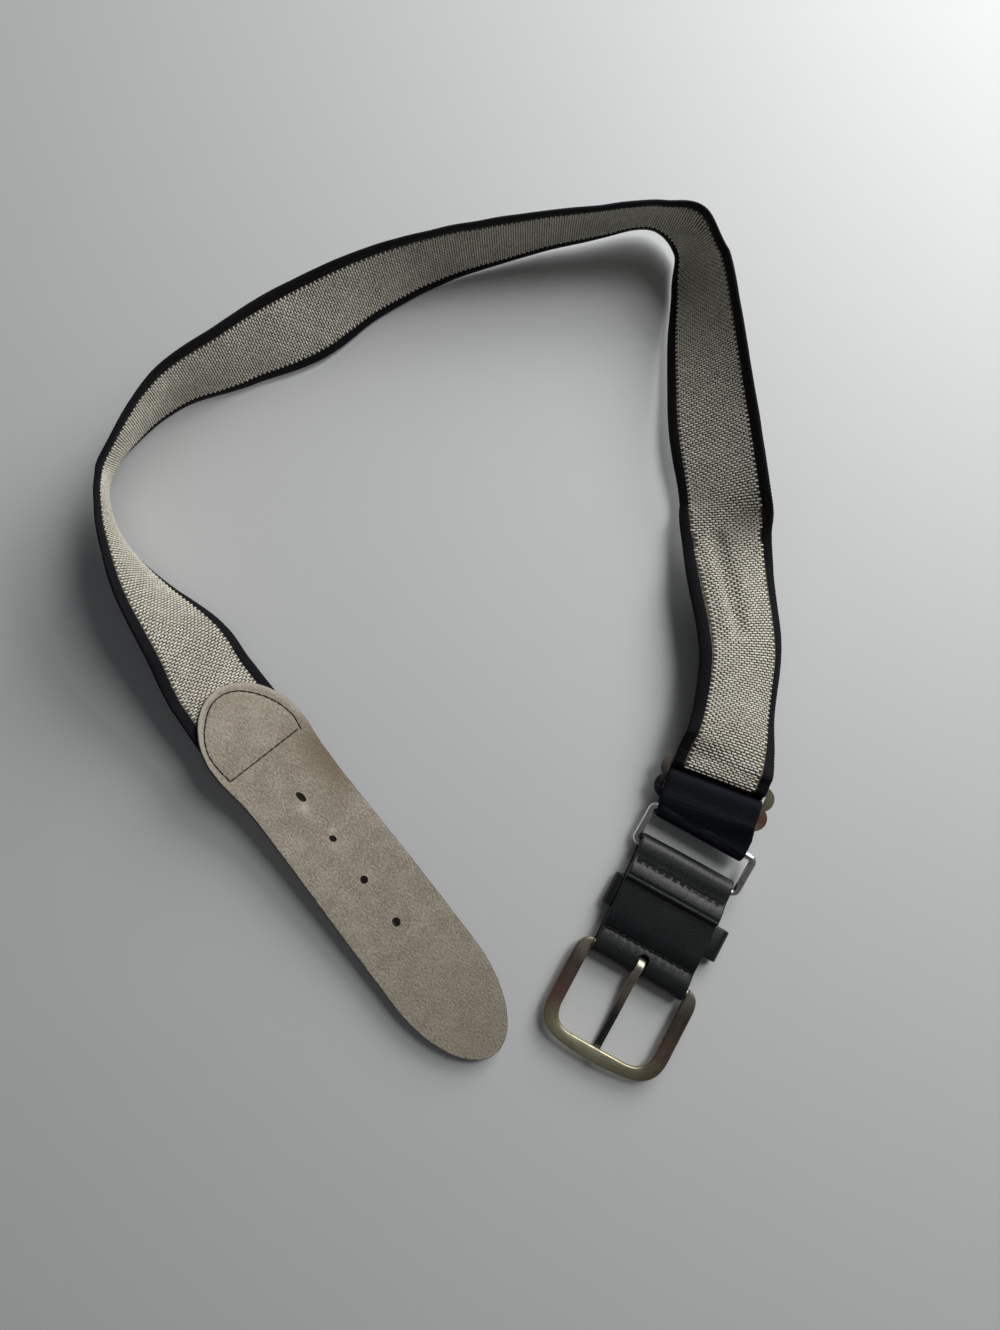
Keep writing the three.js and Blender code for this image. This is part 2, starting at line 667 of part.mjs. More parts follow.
function frameOutline() {
  const inner = FRAME_INNER_CORNER;
  const innerFront = FRAME_INNER_FRONT;
  const arm = FRAME_FRONT + FRAME_OUTER_CORNER.along;
  const armPull = FRAME_FRONT + FRAME_OUTER_CORNER.pull;
  const bar = FRAME_FRONT + FRAME_OUTER_CORNER.rise;
  const barPull = FRAME_FRONT + 2 * FRAME_OUTER_CORNER.rise;
  const strip = new THREE.Shape();
  strip.moveTo(-FRAME_INNER_HALF, HEEL_RADIUS);
  for (const side of [-1, 1]) {
    const half = side * FRAME_HALF;
    const atHeel = side * FRAME_HALF_AT_HEEL;
    const shoulder = HEEL_RADIUS - FRAME_HEEL_CORNER;
    const corner = side * (FRAME_HALF - FRAME_OUTER_CORNER.across);
    const pulled = side * (FRAME_HALF - FRAME_OUTER_CORNER.pull);
    if (side < 0) {
      strip.lineTo(atHeel, HEEL_RADIUS);
      strip.quadraticCurveTo(half, HEEL_RADIUS - 1, half, shoulder);
      strip.lineTo(half, arm);
      strip.bezierCurveTo(half, armPull, pulled, barPull, corner, bar);
      strip.quadraticCurveTo(0, FRAME_FRONT - FRAME_OUTER_CORNER.rise, -corner, bar);
    } else {
      strip.bezierCurveTo(pulled, barPull, half, armPull, half, arm);
      strip.lineTo(half, shoulder);
      strip.quadraticCurveTo(half, HEEL_RADIUS - 1, atHeel, HEEL_RADIUS);
    }
  }
  strip.lineTo(FRAME_INNER_HALF, HEEL_RADIUS);
  strip.lineTo(FRAME_INNER_HALF, innerFront + inner);
  strip.quadraticCurveTo(FRAME_INNER_HALF, innerFront, FRAME_INNER_HALF - inner, innerFront);
  strip.lineTo(inner - FRAME_INNER_HALF, innerFront);
  strip.quadraticCurveTo(-FRAME_INNER_HALF, innerFront, -FRAME_INNER_HALF, innerFront + inner);
  strip.closePath();
  return strip;
}

function buckleFrame() {
  const plate = plateOf(frameOutline(), FRAME_THICK).translate(0, 0, HEEL_HEIGHT - FRAME_THICK / 2);
  const heel = rod(HEEL_RADIUS, 2 * FRAME_HALF_AT_HEEL, 16);
  heel.translate(0, 0, HEEL_HEIGHT);
  const solid = toSolid(plate).add(toSolid(heel));
  return placed(named('buckle_frame', toGeometry(solid), MATERIALS.plated), buckleMatrix);
}

// Prong: an eye round the heel bar and a shaft whose tip lies under the frame's front bar

function prong() {
  const eye = rod(PRONG_EYE_RADIUS, PRONG_WIDTH, 20).translate(PRONG_PLACE, 0, HEEL_HEIGHT);
  const bore = rod(HEEL_RADIUS + GAP, 3 * PRONG_WIDTH, 20).translate(PRONG_PLACE, 0, HEEL_HEIGHT);
  const lower = PRONG_ROWS.map((row) => new THREE.Vector2(row.y, row.low));
  const upper = PRONG_ROWS.map((row) => new THREE.Vector2(row.y, row.high));
  const shaft = new THREE.Shape([...lower, ...upper.reverse()]);
  const stem = acrossX(shaft, PRONG_WIDTH).translate(PRONG_PLACE, 0, 0);
  const solid = toSolid(eye).add(toSolid(stem)).subtract(toSolid(bore));
  return placed(named('prong', toGeometry(solid), MATERIALS.plated), buckleMatrix);
}

const belt = new THREE.Group();
belt.add(
  elasticWeb(),
  leatherTab(),
  slideAdjuster(),
  wireRing(),
  buckleStrap(),
  keeperLoop(),
  buckleFrame(),
  prong(),
);
belt.position.set(-CENTRE.x, -CENTRE.y, 0);

export default belt;
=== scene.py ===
# Elastic belt lying open on a pale floor, inner side up, with the camera above it.
import math

import bpy
import numpy as np
from mathutils import Matrix, Vector


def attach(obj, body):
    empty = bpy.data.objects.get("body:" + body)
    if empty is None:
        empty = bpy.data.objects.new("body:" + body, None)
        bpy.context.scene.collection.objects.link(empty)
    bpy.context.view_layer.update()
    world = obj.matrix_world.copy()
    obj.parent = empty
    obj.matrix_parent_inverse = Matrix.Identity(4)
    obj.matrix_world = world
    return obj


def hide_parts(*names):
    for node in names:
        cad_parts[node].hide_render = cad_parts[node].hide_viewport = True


bl_info = {
    "name": "Elastic Belt",
    "version": (1, 0, 0),
    "blender": (4, 5, 0),
    "location": "3D View > Sidebar > Belt",
    "description": "Builds a stretch web belt with a holed leather tab and a buckle end",
    "category": "Add Mesh",
}

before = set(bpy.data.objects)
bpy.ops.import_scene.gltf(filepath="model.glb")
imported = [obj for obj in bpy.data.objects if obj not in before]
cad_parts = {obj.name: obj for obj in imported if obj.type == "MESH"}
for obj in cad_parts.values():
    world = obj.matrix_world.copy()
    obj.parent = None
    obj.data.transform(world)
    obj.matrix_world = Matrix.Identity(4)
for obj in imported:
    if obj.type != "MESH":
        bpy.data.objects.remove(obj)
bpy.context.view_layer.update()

# The rows below are millimetres from one table point; the belt's box is centred on the origin
MM = 0.001
SHIFT = np.array([0.8, 0.2, 0.0])
UP = np.array([0.0, 0.0, 1.0])
GAP = 0.3

# Elastic web
WEB_WIDTH = 38.0
WEB_THICK = 1.6
WEB_WIDTH_AT_FOLD = 36.6
SELVEDGE = 4.1

# Leather tab, measured from its first hole, positive towards the tip
TAB_THICK = 2.2
TAB_FIRST_HOLE = (-53.7, -61.9)
TAB_HEADING = -52.3
TAB_TIP = 121.8
TAB_ROUND_END = -51.5
TAB_TIP_LENGTH = 38.0
TAB_ROUND_LENGTH = 25.0
HOLE_SPACING = 20.0

# Buckle end: x across, y from the heel bar towards the ring, z up
BUCKLE_PLACE = (75.7, -126.2, 0.0)
BUCKLE_TURN = -28.6
HEEL_HEIGHT = 4.2
HEEL_RADIUS = 1.6
FRAME_HALF = 25.6
FRAME_HALF_AT_HEEL = 20.6
FRAME_INNER_HALF = 19.9
FRAME_FRONT = -39.8
FRAME_INNER_FRONT = -34.0
FRAME_THICK = 2.2
FRAME_INNER_CORNER = 9.0
FRAME_HEEL_CORNER = 8.0
FRAME_RAY_CENTRE = (0.0, -17.0)
BAR_INTO_FRAME = 0.2
BAR_ROUND = 0.9
PRONG_PLACE = -0.7
PRONG_WIDTH = 3.4
PRONG_EYE_RADIUS = 3.6
STRAP_WIDTH = 38.8
STRAP_THICK = 1.8
STRAP_MIDDLE = -0.4
STRAP_SKEW = -0.06
SLOT_WIDTH = 4.4
SLOT_BACK = 5.6
SLOT_FRONT = -9.0
KEEPER_FROM = 15.0
KEEPER_TO = 27.6
KEEPER_HALF = 24.3
KEEPER_MIDDLE = -0.2
KEEPER_HEIGHT = 6.3
KEEPER_THICK = 1.5
KEEPER_RUN_POINTS = 58
KEEPER_WOBBLE = 0.05
WIRE_RADIUS = 1.5
RING_PLACE = (-2.7, 41.5, 4.5)
RING_PLAY = 0.9
RING_PITCH = 9.0
RING_LEAN = 2.0
RING_HALF = 21.5
RING_LENGTH = 15.4
RING_CORNER = 2.0
RING_WOBBLE = 0.12
WEB_SHIFT_AT_RING = -1.2
SLIDE_PLACE = (-7.2, 71.6, 10.4)
SLIDE_TURN = 9.0
SLIDE_PITCH = 10.0
SLIDE_LEAN = 6.0
SLIDE_THICK = 1.4
LOBE_ACROSS = 17.1
LOBE_ALONG = 3.9
LOBE_RADIUS = 5.0
SLIDE_SLOT_HALF = 18.7
SLIDE_SLOT_NEAR = 1.3
SLIDE_SLOT_FAR = 6.7
SLIDE_SLOT_CORNER = 0.8
SLIDE_BEVEL = 0.38
BAR_WRAP_RADIUS = 2.4

# Tab course, a row for each place: distance along it, lift of its lower edge, lean, width
TAB_ROWS = [
    (122, 0.5, 5, 38.8),
    (84, 0.3, 7, 38.8),
    (50, 0.1, 11, 38.4),
    (20, 0.2, 16, 37.6),
    (0, 0.7, 19, 37.4),
    (-12, 1.2, 21.5, 38.4),
    (-24, 1.6, 24.5, 41.2),
    (-42, 1.7, 30, 41.4),
    (-60, 1.8, 36, 41.4),
]

# Web under the tab: distance along the tab, shift outwards
UNDER_TAB_ROWS = [(-16, 0), (-28, 0), (-40, -0.3), (-50, -0.8), (-56, -1.2)]

# Web course from the tab to the slide, a row for each place: x, y, lift of the edge on the loop's
# inner side, lean (less than 0 falls outwards), bow, straight width across
WEB_ROWS = [
    (-95.5, -4.8, 1.5, 45, -2, 38),
    (-112.5, 16.7, 1.5, 73, -2.5, 38),
    (-126, 41.3, 3, 99, -2, 38),
    (-128.5, 57, 4, 106, -2, 38),
    (-121.9, 71, 5, 104, -1.5, 38),
    (-104.2, 93.2, 3, 91, -1, 38),
    (-78.2, 107.4, 2, 75, -1, 38),
    (-53, 121, 2, 63, 0, 38),
    (-28, 136, 0.5, 76, 0.3, 38),
    (-1, 146.5, 0.5, 86, 0.5, 38),
    (27, 154, 1.5, 94, 0.3, 38),
    (56, 158.5, 3, 100, 0.3, 38),
    (84, 162, 4, 104, 0.4, 38),
    (96.5, 155.8, 2.5, 86, 0.6, 38),
    (100.3, 142, 1, 67, 0.8, 38),
    (101.5, 113, 3.5, 51, 1.5, 38),
    (104, 84, 5, 40, 1, 38),
    (108.6, 52, 4, 37, 0, 37.5),
    (110.5, 38, 8, 6.5, -1, 34.5),
    (112.2, 23.2, 12, -13, -3.5, 36.6),
    (115.3, -5.4, 14, -19, -4.5, 36.6),
    (112.5, -27.9, 14, -17, -5, 35),
    (109.7, -42, 15.5, -8, -2.5, 36),
]

# Slanting crease in the web, from one place in plan to another, with a ridge beside it
CREASE_FROM = np.array([105.5, 43.0])
CREASE_TO = np.array([115.3, -3.0])
CREASE_HALF_WIDTH = 3.5
CREASE_FADE = 0.16
CREASE_DEPTH = 2.6
RIDGE_ASIDE = 5.0
RIDGE_HEIGHT = 0.9

# Web through the slide and back over it, in the slide's plane: along the belt, height above the plate
THROUGH_SLIDE = [
    (13, 2.3), (10.5, 2.0), (7.8, 1.85), (6.9, 1.85), (5.95, 1.45), (5.55, 0.6), (5.3, -0.8),
    (4.6, -2.6), (3.0, -4.0), (0, -4.5), (-3.0, -4.1), (-6.0, -3.1), (-9.2, -2.4),
]
BACK_OVER_SLIDE = [(-7.8, 3.1), (-4.5, 2.6)]
SLIDE_TO_RING = 14.7

# Slack waves of the web between its two held ends: height, size, seed
SLACK_WAVES = [(0.55, 26.0, 3), (0.22, 9.0, 4)]
SLACK_ACROSS = 0.8
SLACK_FADE = 30.0
WEB_SHOWS_FROM = 38.0
WEB_SHOWS_BEFORE_SLIDE = 6.0

# The web's section near an edge: distance from the edge, share of half the thickness, share of the ribs
WEB_EDGE = [
    (0.0, 0.0, 0.0), (0.2, 0.62, 0.4), (0.7, 0.96, 1.0), (2.2, 1.0, 1.0), (3.7, 1.0, 1.0), (4.2, 0.62, 0.0),
]
WEB_INNER_COLUMNS = 27
WEB_INNER_SHARE = 0.71
WEB_OUTER_SHARES = (0.66, 0.33, 0.0, -0.33, -0.66)
WEB_GROUND = 0.62
WEB_ZIGZAG = 0.12

# Cream yarn on the web's inner face
YARN_FROM = 25.0
YARN_PAST_SLIDE = 8.0
YARN_INTO_EDGE = 0.30
YARN_RISE = 0.28
YARN_WANDER = 0.06
SURFACE_STEP = 0.4

# Stitch line round the tab's end, from its left corner to its right one: along, across
STITCH_ROWS = [
    (-21.0, 17.2), (-28.0, 18.0), (-33.8, 17.6), (-39.0, 15.2), (-44.6, 10.2), (-47.4, 6.0),
    (-48.5, 1.4), (-47.9, -3.0), (-45.4, -7.6), (-39.4, -13.0), (-34.0, -15.8), (-28.8, -17.1),
    (-25.5, -17.2), (-21.2, -16.4),
]

# Pale scuffs on the tab: distance along, offset across, size, strength
SCUFF_ROWS = [(4.5, 1.6, 1.9, 0.9), (17.5, -1.4, 1.2, 0.7), (23.0, 1.6, 1.0, 0.5), (-49, 3.0, 1.6, 0.3)]

# Holes from the first one on: half length along the tab, half width across it, turn in degrees
HOLE_ROWS = [(2.4, 1.2, 10), (1.5, 1.1, 20), (1.6, 1.45, 0), (1.75, 1.65, 0)]

# Surface of the tab: steps between its rings, columns near an edge, round of the cut, nap and the
# groove along the stitches
TAB_STEP = 0.75
TAB_ROUND_STEP = 0.8
TAB_EDGE_COLUMNS = np.array([0.0, 0.12, 0.3, 0.6, 1.1])
TAB_EDGE_ZONE = 1.8
TAB_HALF = 19.4
TAB_INNER_COLUMNS = 48
TAB_CUT_ROUND = 0.5
TAB_NAP = [(0.05, 1.3, 1), (0.10, 9.0, 2)]
TAB_NAP_BELOW = 0.4
TAB_RAGGED = 0.12
TAB_RAGGED_ZONE = 0.5
TAB_GROOVE = 0.32
TAB_GROOVE_REACH = 0.7

# Stitches of the tab: how deep they lie, and thread for each step of the seam
TAB_STITCH_SINK = 0.12
TAB_STITCH_SHARE = 1.06

# Side view of the strap's middle: y, z, over the heel bar, under it and back over the ring
STRAP_TOP_ROWS = [(33.4, 7.6), (27, 7.6), (18, 7.6), (8, 7.4)]
STRAP_UNDER_ROWS = [(6, 1.9), (13, 3.3), (17, 3.6), (28, 3.6), (34, 3.0)]
STRAP_RETURN_ROWS = [(37.5, 8.3), (34, 9.4), (31, 9.7), (27.8, 9.7)]

# Surface of the strap: step between its rings, columns near an edge, round of the cut, grain
STRAP_STEP = 0.55
STRAP_EDGE_COLUMNS = np.array([0.0, 0.1, 0.25, 0.5, 0.9])
STRAP_EDGE_ZONE = 1.5
STRAP_INNER_COLUMNS = 46
STRAP_CUT_ROUND = 0.45
STRAP_GRAIN = [(0.06, 5.0, 6), (0.14, 17.0, 7)]
STRAP_WAVER = 0.25

# Seams of the strap: place along it, depth and reach of the dent that the thread pulls
SEAM_ROWS = [(7.5, 1.0, 3.2), (35.4, 0.85, 3.0)]
SEAM_WANDER = 0.5
SEAM_LINE_DEPTH = 0.45
SEAM_LINE_REACH = 0.75
PUCKER_SHARE = 0.2
DENT_SHARE_INSIDE = 0.8

# Stitches of the strap, in every layer that a seam passes: bare leather at both ends of a seam, how
# deep they lie, and thread for each step of the seam
STITCH_START = 2.6
STITCH_END = 2.4
STITCH_SINK = 0.42
STITCH_SHARE = 0.86

# Line pressed into the return flap near its end
PRESSED_LINE = 29.4
PRESSED_DEPTH = 0.3
PRESSED_REACH = 0.4
FLAP_LENGTH = 8.0

# Side view of the prong's shaft: y, height of its lower side, of its upper side, width
PRONG_ROWS = [
    (-1.6, 1.6, 6.9, 3.4),
    (-4, 1.4, 6.1, 3.4),
    (-8, 1.5, 5.1, 3.3),
    (-14, 1.1, 4.2, 3.1),
    (-22, 0.75, 3.4, 2.9),
    (-31, 0.4, 2.7, 2.8),
    (-36.4, 0.3, 2.4, 2.7),
    (-38.2, 0.5, 2.0, 2.1),
    (-38.6, 0.9, 1.6, 1.2),
]

# Painted reflections, highlights and shade on the plating, as colours at places along each piece: place
# along the piece from 0 to 1, colour
# The frame's colours paint its reflections and shade round the bow, from one heel end to the other
FRAME_ZONES = [
    (0.00, (0.30, 0.27, 0.22)), (0.10, (0.12, 0.10, 0.085)), (0.22, (0.22, 0.15, 0.11)),
    (0.36, (0.36, 0.33, 0.22)), (0.52, (0.50, 0.47, 0.32)), (0.68, (0.47, 0.44, 0.28)),
    (0.78, (0.26, 0.16, 0.12)), (0.90, (0.17, 0.13, 0.10)), (1.00, (0.40, 0.36, 0.28)),
]
# The prong's colours paint a highlight on its eye and at its tip, with a darker shaft between
PRONG_ZONES = [
    (0.0, (0.62, 0.58, 0.48)), (0.05, (0.44, 0.40, 0.32)), (0.13, (0.30, 0.24, 0.17)),
    (0.2, (0.06, 0.06, 0.065)), (0.33, (0.045, 0.047, 0.055)), (0.38, (0.5, 0.44, 0.34)),
]
# The slide's colours paint each lobe's reflections and shade
SLIDE_ZONES = [
    (0.10, (0.035, 0.036, 0.042)), (0.22, (0.10, 0.085, 0.08)), (0.34, (0.34, 0.25, 0.23)),
    (0.52, (0.46, 0.43, 0.34)), (0.68, (0.40, 0.17, 0.11)), (0.80, (0.36, 0.26, 0.16)),
    (0.92, (0.42, 0.42, 0.26)),
]

# Map of the slide's painted reflections and shade: start, step across it, step along it
SLIDE_MAP = (50.0, 1.5, 3.0)

# Camera in metres, and its lens
CAMERA_PLACE = (0.0233, -0.04473, 0.39350)
CAMERA_AIM = (0.0233, -0.0103, 0.0)
CAMERA_LENS = 27.1
SENSOR = 36.0
FLOOR_DROP = 0.0002

# Soft lights in metres: name, place, size
LIGHT_ROWS = [
    ("far", (0.42, 0.60, 0.40), 0.45),
    ("side", (0.75, 0.45, 0.60), 0.40),
    ("high", (0.85, 0.55, 1.40), 0.50),
]
SKY_COLOUR = (0.95, 0.97, 1.0, 1)


# Curves and frames

def catmull_rom(points, places, even=False):
    """Points at places from 0 to 1 on a smooth curve through points."""
    points = np.asarray(points, float)
    spans = len(points) - 1
    padded = np.vstack([2 * points[0] - points[1], points, 2 * points[-1] - points[-2]])
    place = np.clip(places, 0, 1) * spans
    index = np.minimum(place.astype(int), spans - 1)
    w = (place - index)[:, None]
    p0, p1, p2, p3 = (padded[index + k] for k in range(4))
    if even:
        leave = (p2 - p0) / 2
        arrive = (p3 - p1) / 2
    else:
        d0, d1, d2 = (
            np.sum((b - a) ** 2, axis=1)[:, None] ** 0.25 for a, b in ((p0, p1), (p1, p2), (p2, p3))
        )
        leave = d1 * ((p1 - p0) / d0 - (p2 - p0) / (d0 + d1) + (p2 - p1) / d1)
        arrive = d1 * ((p2 - p1) / d1 - (p3 - p1) / (d1 + d2) + (p3 - p2) / d2)
    return (
        p1 + leave * w + (3 * (p2 - p1) - 2 * leave - arrive) * w**2
        + (2 * (p1 - p2) + leave + arrive) * w**3
    )


def unit(vectors):
    """Vectors of length 1."""
    return vectors / np.linalg.norm(vectors, axis=-1, keepdims=True)


def distances_along(points):
    """Distance from a line's first point to each of its points."""
    return np.concatenate([[0], np.cumsum(np.linalg.norm(np.diff(points, axis=0), axis=1))])


def in_columns(*values):
    """Columns side by side, where a bare number stands for a whole column."""
    return np.column_stack(np.broadcast_arrays(*values))


def rounded(edge, radius):
    """How far a surface drops near a cut edge that is rounded over, for distances from the edge."""
    return radius - np.sqrt(radius**2 - (radius - np.minimum(edge, radius)) ** 2)


def tangents(points, places):
    """Directions of a smooth curve at places."""
    step = 1e-4
    return unit(catmull_rom(points, places + step) - catmull_rom(points, places - step))


def sides_from_leans(along, leans):
    """Directions across a strap: outwards from the loop at lean 0, straight up at lean 90."""
    outward = np.cross(UP, along)
    outward[:, 2] = 0
    outward = unit(outward)
    lean = np.radians(leans)[:, None]
    return outward * np.cos(lean) + UP * np.sin(lean)


class StrapLine:
    """Smooth course of a strap through its controls."""

    def __init__(self, middles, shapes, leans, sides=None):
        self.middles = np.asarray(middles, float)
        self.shapes = np.asarray(shapes, float)
        places = np.linspace(0, 1, len(self.middles))
        self.sides = sides_from_leans(tangents(self.middles, places), np.asarray(leans, float))
        for index, side in (sides or {}).items():
            self.sides[index] = side

    def at(self, places):
        """Middle, side, normal, width and bow at each place."""
        along = tangents(self.middles, places)
        side = catmull_rom(self.sides, places, even=True)
        side = unit(side - along * np.sum(side * along, axis=1, keepdims=True))
        shape = catmull_rom(self.shapes, places, even=True)
        middle = catmull_rom(self.middles, places)
        return middle, side, np.cross(along, side), shape[:, 0], shape[:, 1]

    def spread(self, step):
        """Places that lie evenly along the course, about step apart, and their distances."""
        fine = np.linspace(0, 1, 24000)
        distance = distances_along(catmull_rom(self.middles, fine))
        even = np.arange(0, distance[-1], step)
        return np.interp(even, distance, fine), even


def middle_height(lift, lean, width, thick):
    """Height of a leaning strap's middle above the table."""
    lean = np.radians(lean)
    return lift + width / 2 * np.sin(lean) + thick / 2 * abs(np.cos(lean))


def turned(axis, degrees):
    """Matrix of a turn about an axis."""
    return np.array(Matrix.Rotation(math.radians(degrees), 4, axis))


def moved(place):
    """Matrix of a move."""
    return np.array(Matrix.Translation(Vector(place)))


def put(matrix, points):
    """Points moved by a matrix."""
    return np.asarray(points, float) @ matrix[:3, :3].T + matrix[:3, 3]


BUCKLE = moved(BUCKLE_PLACE) @ turned("Z", BUCKLE_TURN)
RING = BUCKLE @ moved(RING_PLACE) @ turned("X", RING_PITCH) @ turned("Y", -RING_LEAN)
SLIDE = (
    BUCKLE @ moved(SLIDE_PLACE) @ turned("Z", SLIDE_TURN) @ turned("X", SLIDE_PITCH)
    @ turned("Y", -SLIDE_LEAN)
)


def value_noise(points, size, seed=0):
    """Smooth noise from -1 to 1 over points, with features of the given size."""
    scaled = np.asarray(points, float) / size + 57.3 * seed
    cell = np.floor(scaled).astype(np.int64)
    part = scaled - cell
    ease = part * part * (3 - 2 * part)
    total = np.zeros(len(scaled))
    for corner in np.ndindex(2, 2, 2):
        place = cell + corner
        mixed = (place[:, 0] * 73856093) ^ (place[:, 1] * 19349663) ^ (place[:, 2] * 83492791)
        mixed = (mixed ^ (mixed >> 13)) * 1274126177 & 0x7FFFFFFF
        value = (mixed % 65521) / 32760.0 - 1
        weight = np.prod(np.where(corner, ease, 1 - ease), axis=1)
        total += value * weight
    return total


def in_grid(distances, across):
    """Distance, offset across and 0 for each point of a grid of rings."""
    return grid_map(distances[:, None], across, 0.0)


def grid_map(*values):
    """Values stacked point by point, where a row, a column or a number stands for a whole grid."""
    return np.stack(np.broadcast_arrays(*values), axis=-1)


def noise_on_grid(grid, size, seed=0):
    """Smooth noise over a grid of points."""
    return value_noise(grid.reshape(-1, 3), size, seed).reshape(grid.shape[:-1])


def layers_on_grid(grid, layers):
    """Sum of smooth noises over a grid, from rows of height, size and seed."""
    return sum(height * noise_on_grid(grid, size, seed) for height, size, seed in layers)


# Meshes

def link(thing):
    """Puts an object into the scene."""
    bpy.context.scene.collection.objects.link(thing)
    return thing


def new_object(name, points, faces, uv=None):
    """Mesh object from points in millimetres, with an optional map value for each point."""
    mesh = bpy.data.meshes.new(name)
    mesh.from_pydata(((np.asarray(points) + SHIFT) * MM).tolist(), [], faces)
    mesh.validate()
    mesh.polygons.foreach_set("use_smooth", [True] * len(mesh.polygons))
    if uv is not None:
        corners = np.empty(len(mesh.loops), int)
        mesh.loops.foreach_get("vertex_index", corners)
        layer = mesh.uv_layers.new(name="along_across")
        layer.data.foreach_set("uv", np.asarray(uv, float)[corners].ravel())
    return link(bpy.data.objects.new(name, mesh))


def loft(name, rings, uv=None, joined=False):
    """Closed skin over rings of points, whose ends are capped unless the last joins the first."""
    count, around = rings.shape[:2]
    index = np.arange(count * around).reshape(count, around)
    if joined:
        index = np.vstack([index, index[:1]])
    here = index[:-1]
    ahead = index[1:]
    quads = np.stack([here, np.roll(here, -1, 1), np.roll(ahead, -1, 1), ahead], axis=-1).reshape(-1, 4)
    flat = rings.reshape(-1, 3)
    a, b, c, d = (flat[quads[:, k]] for k in range(4))
    volume = np.sum(np.cross(a, b) * c) + np.sum(np.cross(a, c) * d)
    if volume < 0:
        quads = quads[:, ::-1]
    faces = quads.tolist()
    if not joined:
        first = index[0].tolist()
        last = index[-1].tolist()
        faces.append(first if volume < 0 else first[::-1])
        faces.append(last[::-1] if volume < 0 else last)
    return new_object(name, flat, faces, None if uv is None else uv.reshape(-1, 2))


def swept_section(centres, across, upward, half_widths, half_heights, corner, steps=5):
    """Rings of a rounded rectangle along a path."""
    turn = np.linspace(0, 2 * np.pi, 4 * steps, endpoint=False) + np.pi / (4 * steps)
    corner = np.minimum(corner, np.minimum(half_widths, half_heights))[:, None]
    x = np.sign(np.cos(turn)) * (half_widths[:, None] - corner) + corner * np.cos(turn)
    z = np.sign(np.sin(turn)) * (half_heights[:, None] - corner) + corner * np.sin(turn)
    return centres[:, None] + x[..., None] * across[:, None] + z[..., None] * upward[:, None]


def use_modifier(piece, kind, **settings):
    """Applies one modifier to a piece."""
    modifier = piece.modifiers.new(kind.lower(), kind)
    for key, value in settings.items():
        setattr(modifier, key, value)
    evaluated = piece.evaluated_get(bpy.context.evaluated_depsgraph_get())
    mesh = bpy.data.meshes.new_from_object(evaluated)
    piece.modifiers.remove(modifier)
    old = piece.data
    piece.data = mesh
    mesh.name = piece.name
    bpy.data.meshes.remove(old)


def cut(piece, cutter):
    """Takes a cutter's volume out of a piece."""
    use_modifier(piece, "BOOLEAN", operation="DIFFERENCE", solver="EXACT", object=cutter)
    remove(cutter)


def join_to(piece, other):
    """Fuses another volume to a piece."""
    use_modifier(piece, "BOOLEAN", operation="UNION", solver="EXACT", object=other)
    remove(other)


def remove(thing):
    """Deletes an object and its mesh."""
    mesh = thing.data
    bpy.data.objects.remove(thing)
    bpy.data.meshes.remove(mesh)


def finish_piece(piece, body, nodes=(), materials=(), sharp=40):
    """Gives a piece its materials and its body, and hides the CAD nodes that it stands for."""
    for material in materials:
        piece.data.materials.append(material)
    if sharp:
        piece.data.set_sharp_from_angle(angle=math.radians(sharp))
    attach(piece, body)
    if nodes:
        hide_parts(*nodes)


# Threads laid on a surface by Geometry Nodes

def node_into(tree, kind, settings=None, **sockets):
    """One node, its settings first and then its sockets, named in lower case with underscores."""
    node = tree.nodes.new(kind)
    for key, value in (settings or {}).items():
        setattr(node, key, value)
    for key, value in sockets.items():
        matches = [s for s in node.inputs if s.name.lower().replace(" ", "_") == key and s.enabled]
        if not matches:
            raise RuntimeError(f"{kind} has no socket {key}")
        if isinstance(value, bpy.types.NodeSocket):
            tree.links.new(value, matches[0])
        else:
            matches[0].default_value = value
    return node


THREAD_INPUTS = [
    ("Length", "NodeSocketFloat"),
    ("Width", "NodeSocketFloat"),
    ("Height", "NodeSocketFloat"),
    ("Sides", "NodeSocketInt"),
    ("Rings", "NodeSocketInt"),
    ("Size Spread", "NodeSocketFloat"),
    ("Turn Spread", "NodeSocketFloat"),
    ("Squareness", "NodeSocketFloat"),
    ("Seed", "NodeSocketInt"),
    ("Material", "NodeSocketMaterial"),
]


